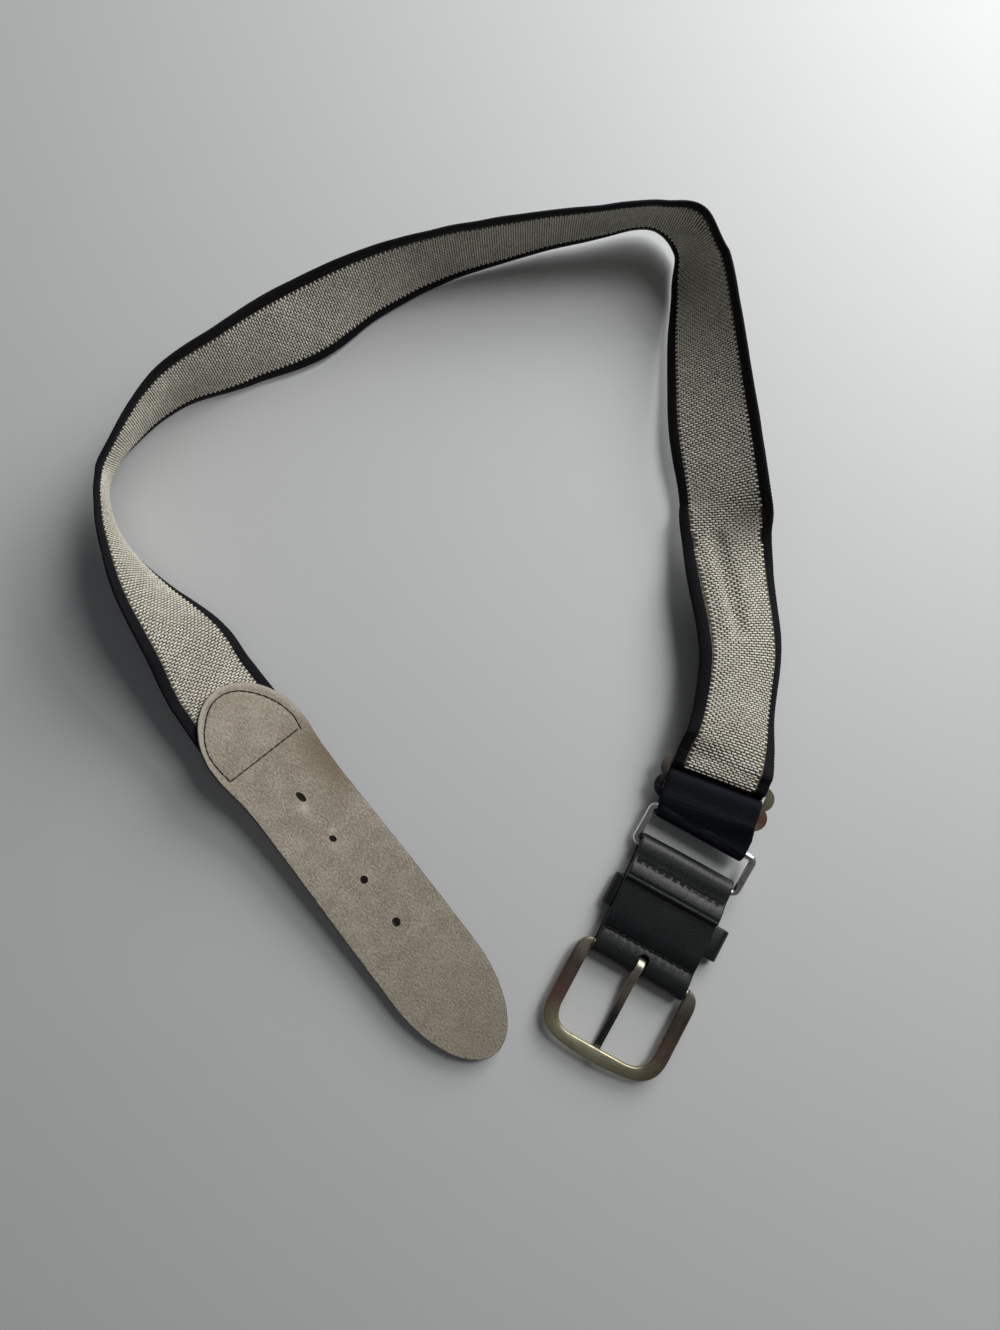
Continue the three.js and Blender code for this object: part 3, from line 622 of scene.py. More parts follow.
def thread_tree():
    """Lays a short rounded thread on each carrier point, along its own direction."""
    name = "laid_threads"
    if name in bpy.data.node_groups:
        return bpy.data.node_groups[name]
    tree = bpy.data.node_groups.new(name, "GeometryNodeTree")
    tree.interface.new_socket(name="Geometry", in_out="INPUT", socket_type="NodeSocketGeometry")
    for label, kind in THREAD_INPUTS:
        tree.interface.new_socket(name=label, in_out="INPUT", socket_type=kind)
    tree.interface.new_socket(name="Geometry", in_out="OUTPUT", socket_type="NodeSocketGeometry")
    given = tree.nodes.new("NodeGroupInput").outputs
    vector = {"data_type": "FLOAT_VECTOR"}
    decimal = {"data_type": "FLOAT"}

    def random(low, high, offset):
        """A random number for each thread, with its own seed."""
        seed = node_into(tree, "ShaderNodeMath", {"operation": "ADD"})
        tree.links.new(given["Seed"], seed.inputs[0])
        seed.inputs[1].default_value = offset
        return node_into(
            tree, "FunctionNodeRandomValue", decimal, min=low, max=high, seed=seed.outputs[0]
        ).outputs[1]

    half = node_into(tree, "ShaderNodeCombineXYZ", x=given["Width"], y=given["Height"], z=given["Length"])
    halved = node_into(tree, "ShaderNodeVectorMath", {"operation": "SCALE"}, scale=0.5)
    tree.links.new(half.outputs[0], halved.inputs[0])
    bead = node_into(
        tree, "GeometryNodeMeshUVSphere", segments=given["Sides"], rings=given["Rings"], radius=1.0
    )
    place = node_into(tree, "ShaderNodeSeparateXYZ")
    tree.links.new(tree.nodes.new("GeometryNodeInputPosition").outputs[0], place.inputs[0])
    height, above, power, end = (
        node_into(tree, "ShaderNodeMath", {"operation": operation})
        for operation in ("ABSOLUTE", "SIGN", "POWER", "MULTIPLY")
    )
    tree.links.new(place.outputs["Z"], height.inputs[0])
    tree.links.new(place.outputs["Z"], above.inputs[0])
    tree.links.new(height.outputs[0], power.inputs[0])
    tree.links.new(given["Squareness"], power.inputs[1])
    tree.links.new(power.outputs[0], end.inputs[0])
    tree.links.new(above.outputs[0], end.inputs[1])
    spot = node_into(
        tree, "ShaderNodeCombineXYZ", x=place.outputs["X"], y=place.outputs["Y"], z=end.outputs[0]
    )
    blunt = node_into(
        tree, "GeometryNodeSetPosition", geometry=bead.outputs["Mesh"], position=spot.outputs[0]
    )
    shaped = node_into(
        tree, "GeometryNodeTransform", geometry=blunt.outputs[0], scale=halved.outputs[0]
    )
    smooth = node_into(tree, "GeometryNodeSetShadeSmooth", geometry=shaped.outputs[0])
    along = node_into(tree, "GeometryNodeInputNamedAttribute", vector, name="along")
    upward = node_into(tree, "GeometryNodeInputNamedAttribute", vector, name="upward")
    aim = node_into(
        tree, "FunctionNodeAxesToRotation", {"primary_axis": "Z", "secondary_axis": "Y"},
        primary_axis=along.outputs[0], secondary_axis=upward.outputs[0],
    )
    turn_low = node_into(tree, "ShaderNodeMath", {"operation": "MULTIPLY"})
    tree.links.new(given["Turn Spread"], turn_low.inputs[0])
    turn_low.inputs[1].default_value = -1.0
    turn = random(turn_low.outputs[0], given["Turn Spread"], 1)
    swing = node_into(tree, "FunctionNodeAxisAngleToRotation", axis=(0, 1, 0), angle=turn)
    rotation = node_into(
        tree, "FunctionNodeRotateRotation", {"rotation_space": "LOCAL"},
        rotation=aim.outputs[0], rotate_by=swing.outputs[0],
    )
    size_low = node_into(tree, "ShaderNodeMath", {"operation": "SUBTRACT"})
    size_low.inputs[0].default_value = 1.0
    tree.links.new(given["Size Spread"], size_low.inputs[1])
    size_high = node_into(tree, "ShaderNodeMath", {"operation": "ADD"})
    size_high.inputs[0].default_value = 1.0
    tree.links.new(given["Size Spread"], size_high.inputs[1])
    sizes = [random(size_low.outputs[0], size_high.outputs[0], k) for k in (2, 3, 4)]
    scale = node_into(tree, "ShaderNodeCombineXYZ", x=sizes[0], y=sizes[1], z=sizes[2])
    laid = node_into(
        tree, "GeometryNodeInstanceOnPoints", points=given["Geometry"], instance=smooth.outputs[0],
        rotation=rotation.outputs[0], scale=scale.outputs[0],
    )
    tinted = node_into(
        tree, "GeometryNodeStoreNamedAttribute", {"data_type": "FLOAT", "domain": "INSTANCE"},
        geometry=laid.outputs[0], name="tint", value=random(0.0, 1.0, 5),
    )
    solid = node_into(tree, "GeometryNodeRealizeInstances", geometry=tinted.outputs[0])
    finished = node_into(
        tree, "GeometryNodeSetMaterial", geometry=solid.outputs[0], material=given["Material"]
    )
    result = tree.nodes.new("NodeGroupOutput")
    tree.links.new(finished.outputs[0], result.inputs[0])
    return tree


def lay_threads(name, points, along, upward, **values):
    """Piece of threads laid on points in millimetres; values are the tree's inputs by name."""
    carrier = new_object(name + "_carrier", points, [])
    for label, vectors in (("along", along), ("upward", upward)):
        attribute = carrier.data.attributes.new(label, "FLOAT_VECTOR", "POINT")
        attribute.data.foreach_set("vector", np.asarray(vectors, float).ravel())
    modifier = carrier.modifiers.new("threads", "NODES")
    modifier.node_group = thread_tree()
    for item in modifier.node_group.interface.items_tree:
        key = item.name.lower().replace(" ", "_")
        if item.in_out == "INPUT" and key in values:
            modifier[item.identifier] = values[key]
    evaluated = carrier.evaluated_get(bpy.context.evaluated_depsgraph_get())
    mesh = bpy.data.meshes.new_from_object(evaluated)
    mesh.name = name
    if not mesh.polygons:
        raise RuntimeError(f"{name} came out empty")
    piece = bpy.data.objects.new(name, mesh)
    bpy.context.scene.collection.objects.link(piece)
    remove(carrier)
    return piece


# Materials

class Value:
    """A shader socket that takes part in sums and products."""

    def __init__(self, look, socket):
        self.look = look
        self.socket = socket

    def math(self, operation, *others):
        """The result of one calculation."""
        node = self.look.tree.nodes.new("ShaderNodeMath")
        node.operation = operation
        for slot, value in zip(node.inputs, (self, *others)):
            self.look.feed(slot, value)
        return Value(self.look, node.outputs[0])

    def __add__(self, other):
        return self.math("ADD", other)

    def __sub__(self, other):
        return self.math("SUBTRACT", other)

    def __mul__(self, other):
        return self.math("MULTIPLY", other)

    def __truediv__(self, other):
        return self.math("DIVIDE", other)

    def __rsub__(self, other):
        return (self * -1.0).math("ADD", other)

    __radd__ = __add__
    __rmul__ = __mul__

    def between(self, low, high):
        """0 below low, 1 above high, smooth in between."""
        return self.look.node(
            "ShaderNodeMapRange", {"interpolation_type": "SMOOTHSTEP"},
            value=self, from_min=low, from_max=high,
        )


class Look:
    """A material built from nodes."""

    def __init__(self, name):
        self.material = bpy.data.materials.new(name)
        self.material.use_nodes = True
        self.tree = self.material.node_tree
        self.shader = self.tree.nodes["Principled BSDF"]

    def feed(self, socket, value):
        """Link a value to a socket, or set a plain number or colour."""
        if isinstance(value, Value):
            self.tree.links.new(value.socket, socket)
        else:
            socket.default_value = value

    def node(self, kind, settings=None, output=0, **sockets):
        """One node: settings first, then its sockets, named in lower case with underscores."""
        node = self.tree.nodes.new(kind)
        for key, value in (settings or {}).items():
            setattr(node, key, value)
        for key, value in sockets.items():
            wanted = [s for s in node.inputs if s.name.lower().replace(" ", "_") == key and s.enabled]
            self.feed(wanted[0], value)
        return Value(self, node.outputs[output])

    def place(self):
        """Place on the piece, in metres."""
        return self.node("ShaderNodeTexCoord", output=3)

    def map(self):
        """Distance along the piece and offset across it, in millimetres."""
        return self.node("ShaderNodeUVMap", {"uv_map": "along_across"})

    def attribute(self, name):
        """A number stored on the piece's points."""
        return self.node("ShaderNodeAttribute", {"attribute_name": name}, output=2)

    def stretched(self, vector, scale, turn=(0, 0, 0)):
        """A place scaled and turned."""
        return self.node("ShaderNodeMapping", vector=vector, scale=scale, rotation=turn)

    def noise(self, vector, scale, detail=3.0, rough=0.55):
        """Soft noise."""
        return self.node(
            "ShaderNodeTexNoise", vector=vector, scale=scale, detail=detail, roughness=rough,
        )

    def cells(self, vector, scale):
        """Distance from the middles of small cells."""
        return self.node("ShaderNodeTexVoronoi", {"feature": "F1"}, vector=vector, scale=scale)

    def split(self, vector):
        """The three parts of a vector."""
        parts = self.tree.nodes.new("ShaderNodeSeparateXYZ")
        self.tree.links.new(vector.socket, parts.inputs[0])
        return [Value(self, out) for out in parts.outputs]

    def ramp(self, value, stops):
        """Colour for a value, from stops of place and colour."""
        node = self.tree.nodes.new("ShaderNodeValToRGB")
        elements = node.color_ramp.elements
        while len(elements) < len(stops):
            elements.new(0.5)
        for element, (place, colour) in zip(elements, stops):
            element.position = place
            element.color = (*colour, 1)
        self.feed(node.inputs[0], value)
        return Value(self, node.outputs[0])

    def mix(self, factor, first, second):
        """Blend from the first colour to the second."""
        node = self.tree.nodes.new("ShaderNodeMix")
        node.data_type = "RGBA"
        colours = [s for s in node.inputs if s.type == "RGBA"]
        self.feed(node.inputs[0], factor)
        for slot, colour in zip(colours, (first, second)):
            self.feed(slot, colour if isinstance(colour, Value) else (*colour, 1))
        return Value(self, [s for s in node.outputs if s.type == "RGBA"][0])

    def bump(self, height, depth):
        """Normal from a height of 0 to 1 that stands for depth in metres."""
        return self.node("ShaderNodeBump", height=height, distance=depth, strength=1.0)

    def set(self, **sockets):
        """Set the shader's sockets, and give the finished material."""
        for key, value in sockets.items():
            label = key.replace("_", " ").title().replace("Ior", "IOR")
            self.feed(self.shader.inputs[label], value)
        return self.material


def colour(group, key):
    """A colour of the panel as plain numbers."""
    return tuple(getattr(group, key))


def cream_yarn(settings):
    """Cream yarn, each piece with its own tint, a little worn."""
    look = Look("cream_yarn")
    place = look.place()
    worn = look.noise(place, 40.0, 3.0).between(0.42, 0.72)
    tint = look.attribute("tint")
    tinted = look.mix(tint, colour(settings, "yarn_shaded"), colour(settings, "yarn"))
    base = look.mix(worn * 0.3, tinted, (0.50, 0.46, 0.37))
    fibres = look.noise(place, 3800.0, 2.0)
    return look.set(
        base_color=base, roughness=0.9, normal=look.bump(fibres, 0.00012), sheen_weight=0.15,
    )


def knit_ground():
    """Dark ground that shows between the pieces of yarn."""
    look = Look("knit_ground")
    place = look.place()
    loops = look.cells(place, 900.0)
    shade = look.noise(place, 420.0, 3.0)
    base = look.ramp(loops * 0.6 + shade * 0.4, [
        (0.25, (0.035, 0.033, 0.026)), (0.6, (0.13, 0.12, 0.09)), (0.85, (0.30, 0.27, 0.21)),
    ])
    return look.set(base_color=base, roughness=0.95, normal=look.bump(loops, 0.0003))


def black_ribs(settings, name, key):
    """Woven black face of the web, with fine threads across and along the ribs."""
    look = Look(name)
    across = look.map()
    fine = look.noise(look.stretched(across, (9.0, 2.2, 1.0)), 1.0, 2.0)
    dust = look.noise(look.place(), 300.0, 4.0).between(0.55, 0.8)
    base = look.mix(fine * 0.5, colour(settings, key), (0.008, 0.009, 0.013))
    base = look.mix(dust * 0.2, base, (0.022, 0.022, 0.023))
    return look.set(
        base_color=base, roughness=0.72, normal=look.bump(fine, 0.00015), specular_ior_level=0.18,
    )


def suede(settings):
    """Flesh side of the tab's leather: short nap, worn paler rim, a brown stain, dark cut edge."""
    look = Look("suede")
    place = look.place()
    map_place = look.map()
    along, across, _ = look.split(map_place)
    edge = look.attribute("edge")
    nap = look.noise(look.stretched(map_place, (0.75, 1.3, 1.0), (0, 0, 0.5)), 1.15, 4.0, 0.7)
    patches = look.noise(place, 130.0, 4.0, 0.6)
    cloud = look.noise(place, 28.0, 3.0)
    base = look.mix(patches.between(0.35, 0.7), colour(settings, "suede_shaded"), colour(settings, "suede"))
    base = look.mix(cloud.between(0.4, 0.75) * 0.35, base, (0.42, 0.37, 0.29))
    base = look.mix((1 - nap.between(0.30, 0.52)) * 0.75, base, (0.17, 0.145, 0.105))
    base = look.mix(nap.between(0.50, 0.70) * 0.7, base, (0.66, 0.60, 0.50))
    stain_along = 1 - ((along + 6.0).math("ABSOLUTE")).between(4.0, 24.0)
    stain_across = (across * -1.0).between(3.0, 19.0)
    stain = stain_along * stain_across * (patches * 0.7 + 0.5)
    base = look.mix(stain * 0.8, base, (0.17, 0.125, 0.065))
    tip = along.between(40.0, 125.0)
    base = look.mix(tip * 0.35, base, (0.24, 0.21, 0.165))
    rim = 1 - edge.between(0.5, 2.4)
    at_round = 1 - along.between(-40.0, -15.0)
    base = look.mix(rim * at_round * 0.6, base, (0.60, 0.54, 0.46))
    dark = 1 - (edge + patches * 0.25 - 0.12).between(0.02, 0.42)
    base = look.mix(dark, base, (0.022, 0.019, 0.016))
    scuff = look.attribute("scuff")
    base = look.mix(scuff, base, (0.66, 0.60, 0.50))
    height = nap * 0.8 + patches * 0.2
    return look.set(
        base_color=base, roughness=0.96, normal=look.bump(height, 0.0007), sheen_weight=0.1,
        specular_ior_level=0.2,
    )


def black_leather(settings):
    """Smooth black leather with fine pores and streaks along the strap."""
    look = Look("black_leather")
    place = look.place()
    pores = look.cells(place, 1500.0)
    streaks = look.noise(look.stretched(look.map(), (0.25, 3.4, 1.0)), 1.0, 4.0, 0.6)
    cloud = look.noise(place, 90.0, 4.0)
    base = look.mix(streaks.between(0.35, 0.75), colour(settings, "leather"), (0.006, 0.008, 0.009))
    base = look.mix(cloud.between(0.55, 0.8) * 0.4, base, (0.014, 0.015, 0.015))
    gloss = 0.29 + streaks * 0.22 + cloud * 0.10
    height = pores * 0.35 + streaks * 0.65
    return look.set(
        base_color=base, roughness=gloss, normal=look.bump(height, 0.00012), specular_ior_level=0.55,
    )


def plating_painted_reflections(name, zones):
    """Nickel over brass: colour zones along the piece that paint reflections, highlights and shade, with
    scratches and dull patches.
    """
    look = Look(name)
    place = look.place()
    along, _, _ = look.split(look.map())
    streaks = look.noise(look.stretched(look.map(), (0.12, 4.0, 1.0)), 1.0, 4.0, 0.6)
    patches = look.noise(place, 210.0, 5.0, 0.62)
    # Painted reflections, highlights and shade from the colour zones along the piece
    base = look.ramp(along / 100.0 + patches * 0.06 - 0.03, zones)
    base = look.mix(patches.between(0.56, 0.74) * 0.5, base, (0.10, 0.075, 0.055))
    base = look.mix(streaks.between(0.52, 0.8) * 0.4, base, (0.62, 0.58, 0.46))
    rough = 0.26 + patches * 0.2 + streaks * 0.1
    return look.set(
        base_color=base, roughness=rough, metallic=0.92, normal=look.bump(streaks, 0.00006),
    )


def bright_wire(settings):
    """Bright plated wire with fine streaks and dull patches."""
    look = Look("bright_wire")
    streaks = look.noise(look.stretched(look.map(), (0.2, 3.0, 1.0)), 1.0, 3.0)
    patches = look.noise(look.place(), 260.0, 4.0)
    base = look.mix(patches.between(0.5, 0.75) * 0.5, colour(settings, "wire"), (0.30, 0.29, 0.24))
    return look.set(
        base_color=base, metallic=1.0, roughness=0.2 + streaks * 0.12,
        normal=look.bump(streaks, 0.00004),
    )


def black_thread():
    """Twisted black sewing thread."""
    look = Look("black_thread")
    twist = look.node(
        "ShaderNodeTexWave", {"bands_direction": "DIAGONAL"}, vector=look.place(), scale=900.0,
        distortion=1.0,
    )
    base = look.mix(twist, (0.004, 0.004, 0.005), (0.014, 0.014, 0.015))
    return look.set(
        base_color=base, roughness=0.6, normal=look.bump(twist, 0.00008), specular_ior_level=0.25,
    )


def pale_floor(settings):
    """Pale matt floor."""
    look = Look("pale_floor")
    grain = look.noise(look.place(), 40.0, 5.0)
    base = look.mix(grain * 0.06, colour(settings, "floor"), (0.50, 0.52, 0.53))
    return look.set(base_color=base, roughness=0.55)


# Courses of the tab and the web

def tab_line():
    """Course of the tab, from its tip to its round end."""
    direction = np.array([math.cos(math.radians(TAB_HEADING)), math.sin(math.radians(TAB_HEADING)), 0])
    middles = []
    for along, lift, lean, width in TAB_ROWS:
        height = middle_height(lift, lean, width, TAB_THICK)
        middles.append(np.array([*TAB_FIRST_HOLE, height]) + direction * along)
    rows = np.array(TAB_ROWS, float)
    return StrapLine(middles, np.column_stack([rows[:, 3], 0 * rows[:, 3]]), rows[:, 2])


def tab_frames(along):
    """Middle, side, normal, width and bow of the tab at distances from its first hole."""
    rows = np.array(TAB_ROWS, float)
    place = np.interp(-np.asarray(along, float), -rows[:, 0], np.arange(len(rows))) / (len(rows) - 1)
    return tab_line().at(place)


class WebControls:
    """Collects the web's controls."""

    def __init__(self):
        self.middles = []
        self.shapes = []
        self.leans = []
        self.sides = {}

    def add(self, middle, width, bow=0.0, lean=0.0, side=None):
        """One control of the web."""
        if side is not None:
            self.sides[len(self.middles)] = side
        self.middles.append(middle)
        self.shapes.append((width, bow))
        self.leans.append(lean)

    def add_flat(self, matrix, across, along, height, side=None):
        """One control where the web is narrowed, in the frame of the slide or the ring."""
        middle = put(matrix, [(across, along, height)])[0]
        self.add(middle, WEB_WIDTH_AT_FOLD, side=matrix[:3, 0] if side is None else side)

    def add_wrap(self, matrix, across, along, radius, start, end):
        """Controls of a turn round a bar, between two angles in degrees."""
        steps = round(abs(end - start) / 30)
        for k in range(steps + 1):
            turn = math.radians(start + (end - start) * k / steps)
            self.add_flat(matrix, across, along + radius * math.cos(turn), radius * math.sin(turn))


def side_between(along):
    """Side direction of the web between the slide's bar and the ring, in the slide's plane."""
    part = min(0, along) / SLIDE_TO_RING
    return (SLIDE @ turned("Z", SLIDE_TURN * part))[:3, 0]


def web_line():
    """Course of the web, and the place on it where the slide begins."""
    web = WebControls()
    under = np.array(UNDER_TAB_ROWS, float)
    middles, sides, normals, _, _ = tab_frames(under[:, 0])
    below = TAB_THICK / 2 + GAP + WEB_THICK / 2
    for middle, side, normal, shift in zip(middles, sides, normals, under[:, 1]):
        web.add(middle - normal * below + side * shift, WEB_WIDTH, side=side)
    for x, y, lift, lean, bow, across in WEB_ROWS:
        height = middle_height(lift, lean, across, WEB_THICK)
        web.add(np.array([x, y, height]), across, bow, lean)
    at_slide = len(web.middles)
    for along, height in THROUGH_SLIDE:
        web.add_flat(SLIDE, 0, along, height, side_between(along))
    wrap_radius = WIRE_RADIUS + GAP + WEB_THICK / 2
    web.add_wrap(RING, WEB_SHIFT_AT_RING, RING_LENGTH, wrap_radius, 270, 90)
    web.add_flat(RING, WEB_SHIFT_AT_RING, RING_LENGTH + WIRE_RADIUS, wrap_radius)
    for along, height in BACK_OVER_SLIDE:
        web.add_flat(SLIDE, 0, along, height, side_between(along))
    web.add_wrap(SLIDE, 0, 0, BAR_WRAP_RADIUS, 90, -120)
    line = StrapLine(web.middles, web.shapes, web.leans, web.sides)
    return line, at_slide / (len(web.middles) - 1)


def crease_dent(points):
    """Depth of the crease, less the ridge beside it, at points of the web."""
    run = CREASE_TO - CREASE_FROM
    offset = points[..., :2] - CREASE_FROM
    part = np.clip(offset @ run / (run @ run), 0, 1)
    aside = offset - part[..., None] * run
    gap = np.sign(run[0] * aside[..., 1] - run[1] * aside[..., 0]) * np.linalg.norm(aside, axis=-1)
    dent = CREASE_DEPTH * np.exp(-((gap / CREASE_HALF_WIDTH) ** 2))
    dent = dent - RIDGE_HEIGHT * np.exp(-(((gap + RIDGE_ASIDE) / CREASE_HALF_WIDTH) ** 2))
    from_end = np.clip(np.minimum(part, 1 - part) / CREASE_FADE, 0, 1)
    return dent * from_end * from_end * (3 - 2 * from_end)


def slack_waves(distances, across, visible):
    """Slow waves of the web, which fade towards its two held ends."""
    from_start = np.clip((distances - visible[0]) / SLACK_FADE, 0, 1)
    from_slide = np.clip((visible[1] - distances) / SLACK_FADE, 0, 1)
    waves = layers_on_grid(in_grid(distances, across * SLACK_ACROSS), SLACK_WAVES)
    return (from_start * from_slide)[:, None] * waves


def on_web(line, places, distances, visible, across, height):
    """Points of the web at offsets across and heights above its middle surface."""
    middle, side, normal, width, bow = line.at(places)
    share = across / (width[:, None] / 2)
    points = middle[:, None] + side[:, None] * across[..., None]
    points = points - normal[:, None] * (bow[:, None] * (1 - share**2))[..., None]
    lift = height - crease_dent(points) + slack_waves(distances, across, visible)
    return points + normal[:, None] * lift[..., None]


def web_section(half, wave, rib):
    """Offsets across and heights of the web's rings: inner face from edge to edge, then its outer face."""
    from_edge, share, rib_share = np.array(WEB_EDGE).T
    back = slice(1, 4)
    edge = half - from_edge
    zigzag = WEB_ZIGZAG * wave * (from_edge < 0.5)
    edge_height = share * WEB_THICK / 2 + rib_share * rib * wave
    inner = np.linspace(-WEB_INNER_SHARE, WEB_INNER_SHARE, WEB_INNER_COLUMNS) * half
    outer = np.array(WEB_OUTER_SHARES) * half
    across = np.hstack([
        -edge - zigzag, inner, (edge + zigzag)[:, ::-1], edge[:, back], outer, -edge[:, back][:, ::-1],
    ])
    height = np.hstack([
        edge_height, np.full_like(inner, WEB_GROUND * WEB_THICK / 2), edge_height[:, ::-1],
        -edge_height[:, back], -(WEB_THICK / 2 + rib * wave) + 0 * outer, -edge_height[:, back][:, ::-1],
    ])
    return across, height


def web_slots(around):
    """Material of each face round the web's section: 0 outer face, 1 woven edge, 2 ground of the knit."""
    edge = len(WEB_EDGE)
    slots = np.zeros(around, int)
    slots[: 2 * edge + WEB_INNER_COLUMNS - 1] = 1
    slots[edge - 1 : edge + WEB_INNER_COLUMNS] = 2
    slots[-1] = 1
    return slots


def build_web(settings):
    """The ribbon of the web, and the cream yarn on it."""
    line, slide_place = web_line()
    places, distances = line.spread(settings.rib_pitch / MM / 3)
    slide_start = np.interp(slide_place, places, distances)
    visible = (WEB_SHOWS_FROM, slide_start - WEB_SHOWS_BEFORE_SLIDE)
    half = line.at(places)[3][:, None] / 2
    wave = np.tile([1.0, -0.35, -0.65], len(places) // 3 + 1)[: len(places), None]
    across, height = web_section(half, wave, settings.rib_height / MM)
    rings = on_web(line, places, distances, visible, across, height)
    web = loft("web_band", rings, in_grid(distances, across)[..., :2])
    slots = np.zeros(len(web.data.polygons), int)
    slots[: (len(places) - 1) * rings.shape[1]] = np.tile(web_slots(rings.shape[1]), len(places) - 1)
    finish_piece(web, "belt", ["elastic_web"], [
        black_ribs(settings, "navy_face", "web_back"),
        black_ribs(settings, "black_edge", "web_edge"),
        knit_ground(),
    ], sharp=0)
    web.data.polygons.foreach_set("material_index", slots)
    rows = np.arange(YARN_FROM, slide_start + YARN_PAST_SLIDE, settings.row_pitch / MM)
    row_places = (np.interp(rows, distances, places), np.interp(rows + SURFACE_STEP, distances, places))
    lay_yarn(settings, line, rows, row_places, visible)


def lay_yarn(settings, line, rows, row_places, visible):
    """Short pieces of cream yarn in rows across the web's inner face, each row half a step aside."""
    places, next_places = row_places
    half = line.at(places)[3] / 2 - SELVEDGE - settings.float_length / MM * YARN_INTO_EDGE
    spacing = settings.float_spacing / MM
    count = int(half.max() / spacing) + 1
    steps = np.arange(-count, count + 1) * spacing
    stagger = np.where(np.arange(len(rows)) % 2, 0.5, 0.0)[:, None] * spacing - spacing / 4
    across = steps[None] + stagger
    spots = np.column_stack([across.ravel(), np.repeat(rows, len(steps)), 0 * across.ravel()])
    across = across + value_noise(spots * 7, 1.0, 9).reshape(across.shape) * YARN_WANDER
    height = np.full_like(across, WEB_GROUND * WEB_THICK / 2 + settings.float_height / MM * YARN_RISE)
    points = on_web(line, places, rows, visible, across, height)
    ahead = on_web(line, next_places, rows + SURFACE_STEP, visible, across, height) - points
    side = unit(on_web(line, places, rows, visible, across + SURFACE_STEP, height) - points)
    normal = unit(np.cross(ahead, side))
    kept = np.abs(across) < half[:, None]
    yarn = lay_threads(
        "knit_floats", points[kept], side[kept], normal[kept], squareness=0.42,
        length=settings.float_length, width=settings.float_width, height=settings.float_height,
        sides=5, rings=3, size_spread=0.08, turn_spread=0.13, seed=settings.seed,
        material=cream_yarn(settings),
    )
    finish_piece(yarn, "belt", sharp=0)


def tab_roundness(along):
    """Share of the tab's width that is left at distances along it, towards its two round ends."""
    into_tip = np.maximum(0, along - (TAB_TIP - TAB_TIP_LENGTH)) / TAB_TIP_LENGTH
    into_round = np.maximum(0, TAB_ROUND_END + TAB_ROUND_LENGTH - along) / TAB_ROUND_LENGTH
    return np.sqrt(np.maximum(0, 1 - np.maximum(into_tip, into_round) ** 2))


def round_end(start, length, step):
    """Distances into a round end, closer towards its apex."""
    turn = np.linspace(0.015, np.pi / 2, int(length / step * 1.5))
    return start + length * (1 - np.cos(turn))


def tab_stations():
    """Distances of the tab's rings, closest at its round ends."""
    tip = TAB_TIP - round_end(0, TAB_TIP_LENGTH, TAB_ROUND_STEP)
    back = round_end(TAB_ROUND_END, TAB_ROUND_LENGTH, TAB_ROUND_STEP)
    run = np.arange(back[-1] + 0.7, tip.min() - 0.3, TAB_STEP)
    return np.sort(np.concatenate([tip, back, run]))[::-1]


def stitch_path():
    """Closed stitch line on the tab: distance along it and offset across it."""
    corners = np.array([(*row, 0.0) for row in STITCH_ROWS])
    arc = catmull_rom(corners, np.linspace(0, 1, 200))[:, :2]
    return np.vstack([arc, arc[:1]])


def sample(points, distance, at):
    """Places on a polyline at given distances."""
    return np.column_stack([np.interp(at, distance, column) for column in points.T])


def evenly(points, step):
    """Points spread evenly along a polyline, with the directions there."""
    distance = distances_along(points)
    count = max(2, round(distance[-1] / step))
    middles = (np.arange(count) + 0.5) * distance[-1] / count
    direction = sample(points, distance, middles + 0.2) - sample(points, distance, middles - 0.2)
    return sample(points, distance, middles), unit(direction), distance[-1] / count


def distance_to(points, line):
    """Shortest distance from each of many points to the corners of a fine polyline."""
    result = np.empty(len(points))
    for start in range(0, len(points), 4000):
        block = points[start : start + 4000, None] - line[None]
        result[start : start + 4000] = np.sqrt(np.min(np.sum(block**2, axis=-1), axis=1))
    return result


def on_tab(along, across, height):
    """Points on the tab for arrays of distance, offset and height above its middle surface."""
    middle, side, normal, _, _ = tab_frames(along)
    return middle + side * across[:, None] + normal * height[:, None], side, normal


def tab_outline():
    """Fine outline of the flat tab: distance along it, offset across it."""
    along = np.linspace(TAB_ROUND_END, TAB_TIP, 3000)
    half = tab_frames(along)[3] / 2 * tab_roundness(along)
    return np.vstack([np.column_stack([along, half]), np.column_stack([along, -half])])


def both_faces(top, bottom=None):
    """Values of the upper face from edge to edge, and back over the lower face."""
    bottom = top if bottom is None else bottom
    return np.hstack([top, bottom[:, ::-1]])


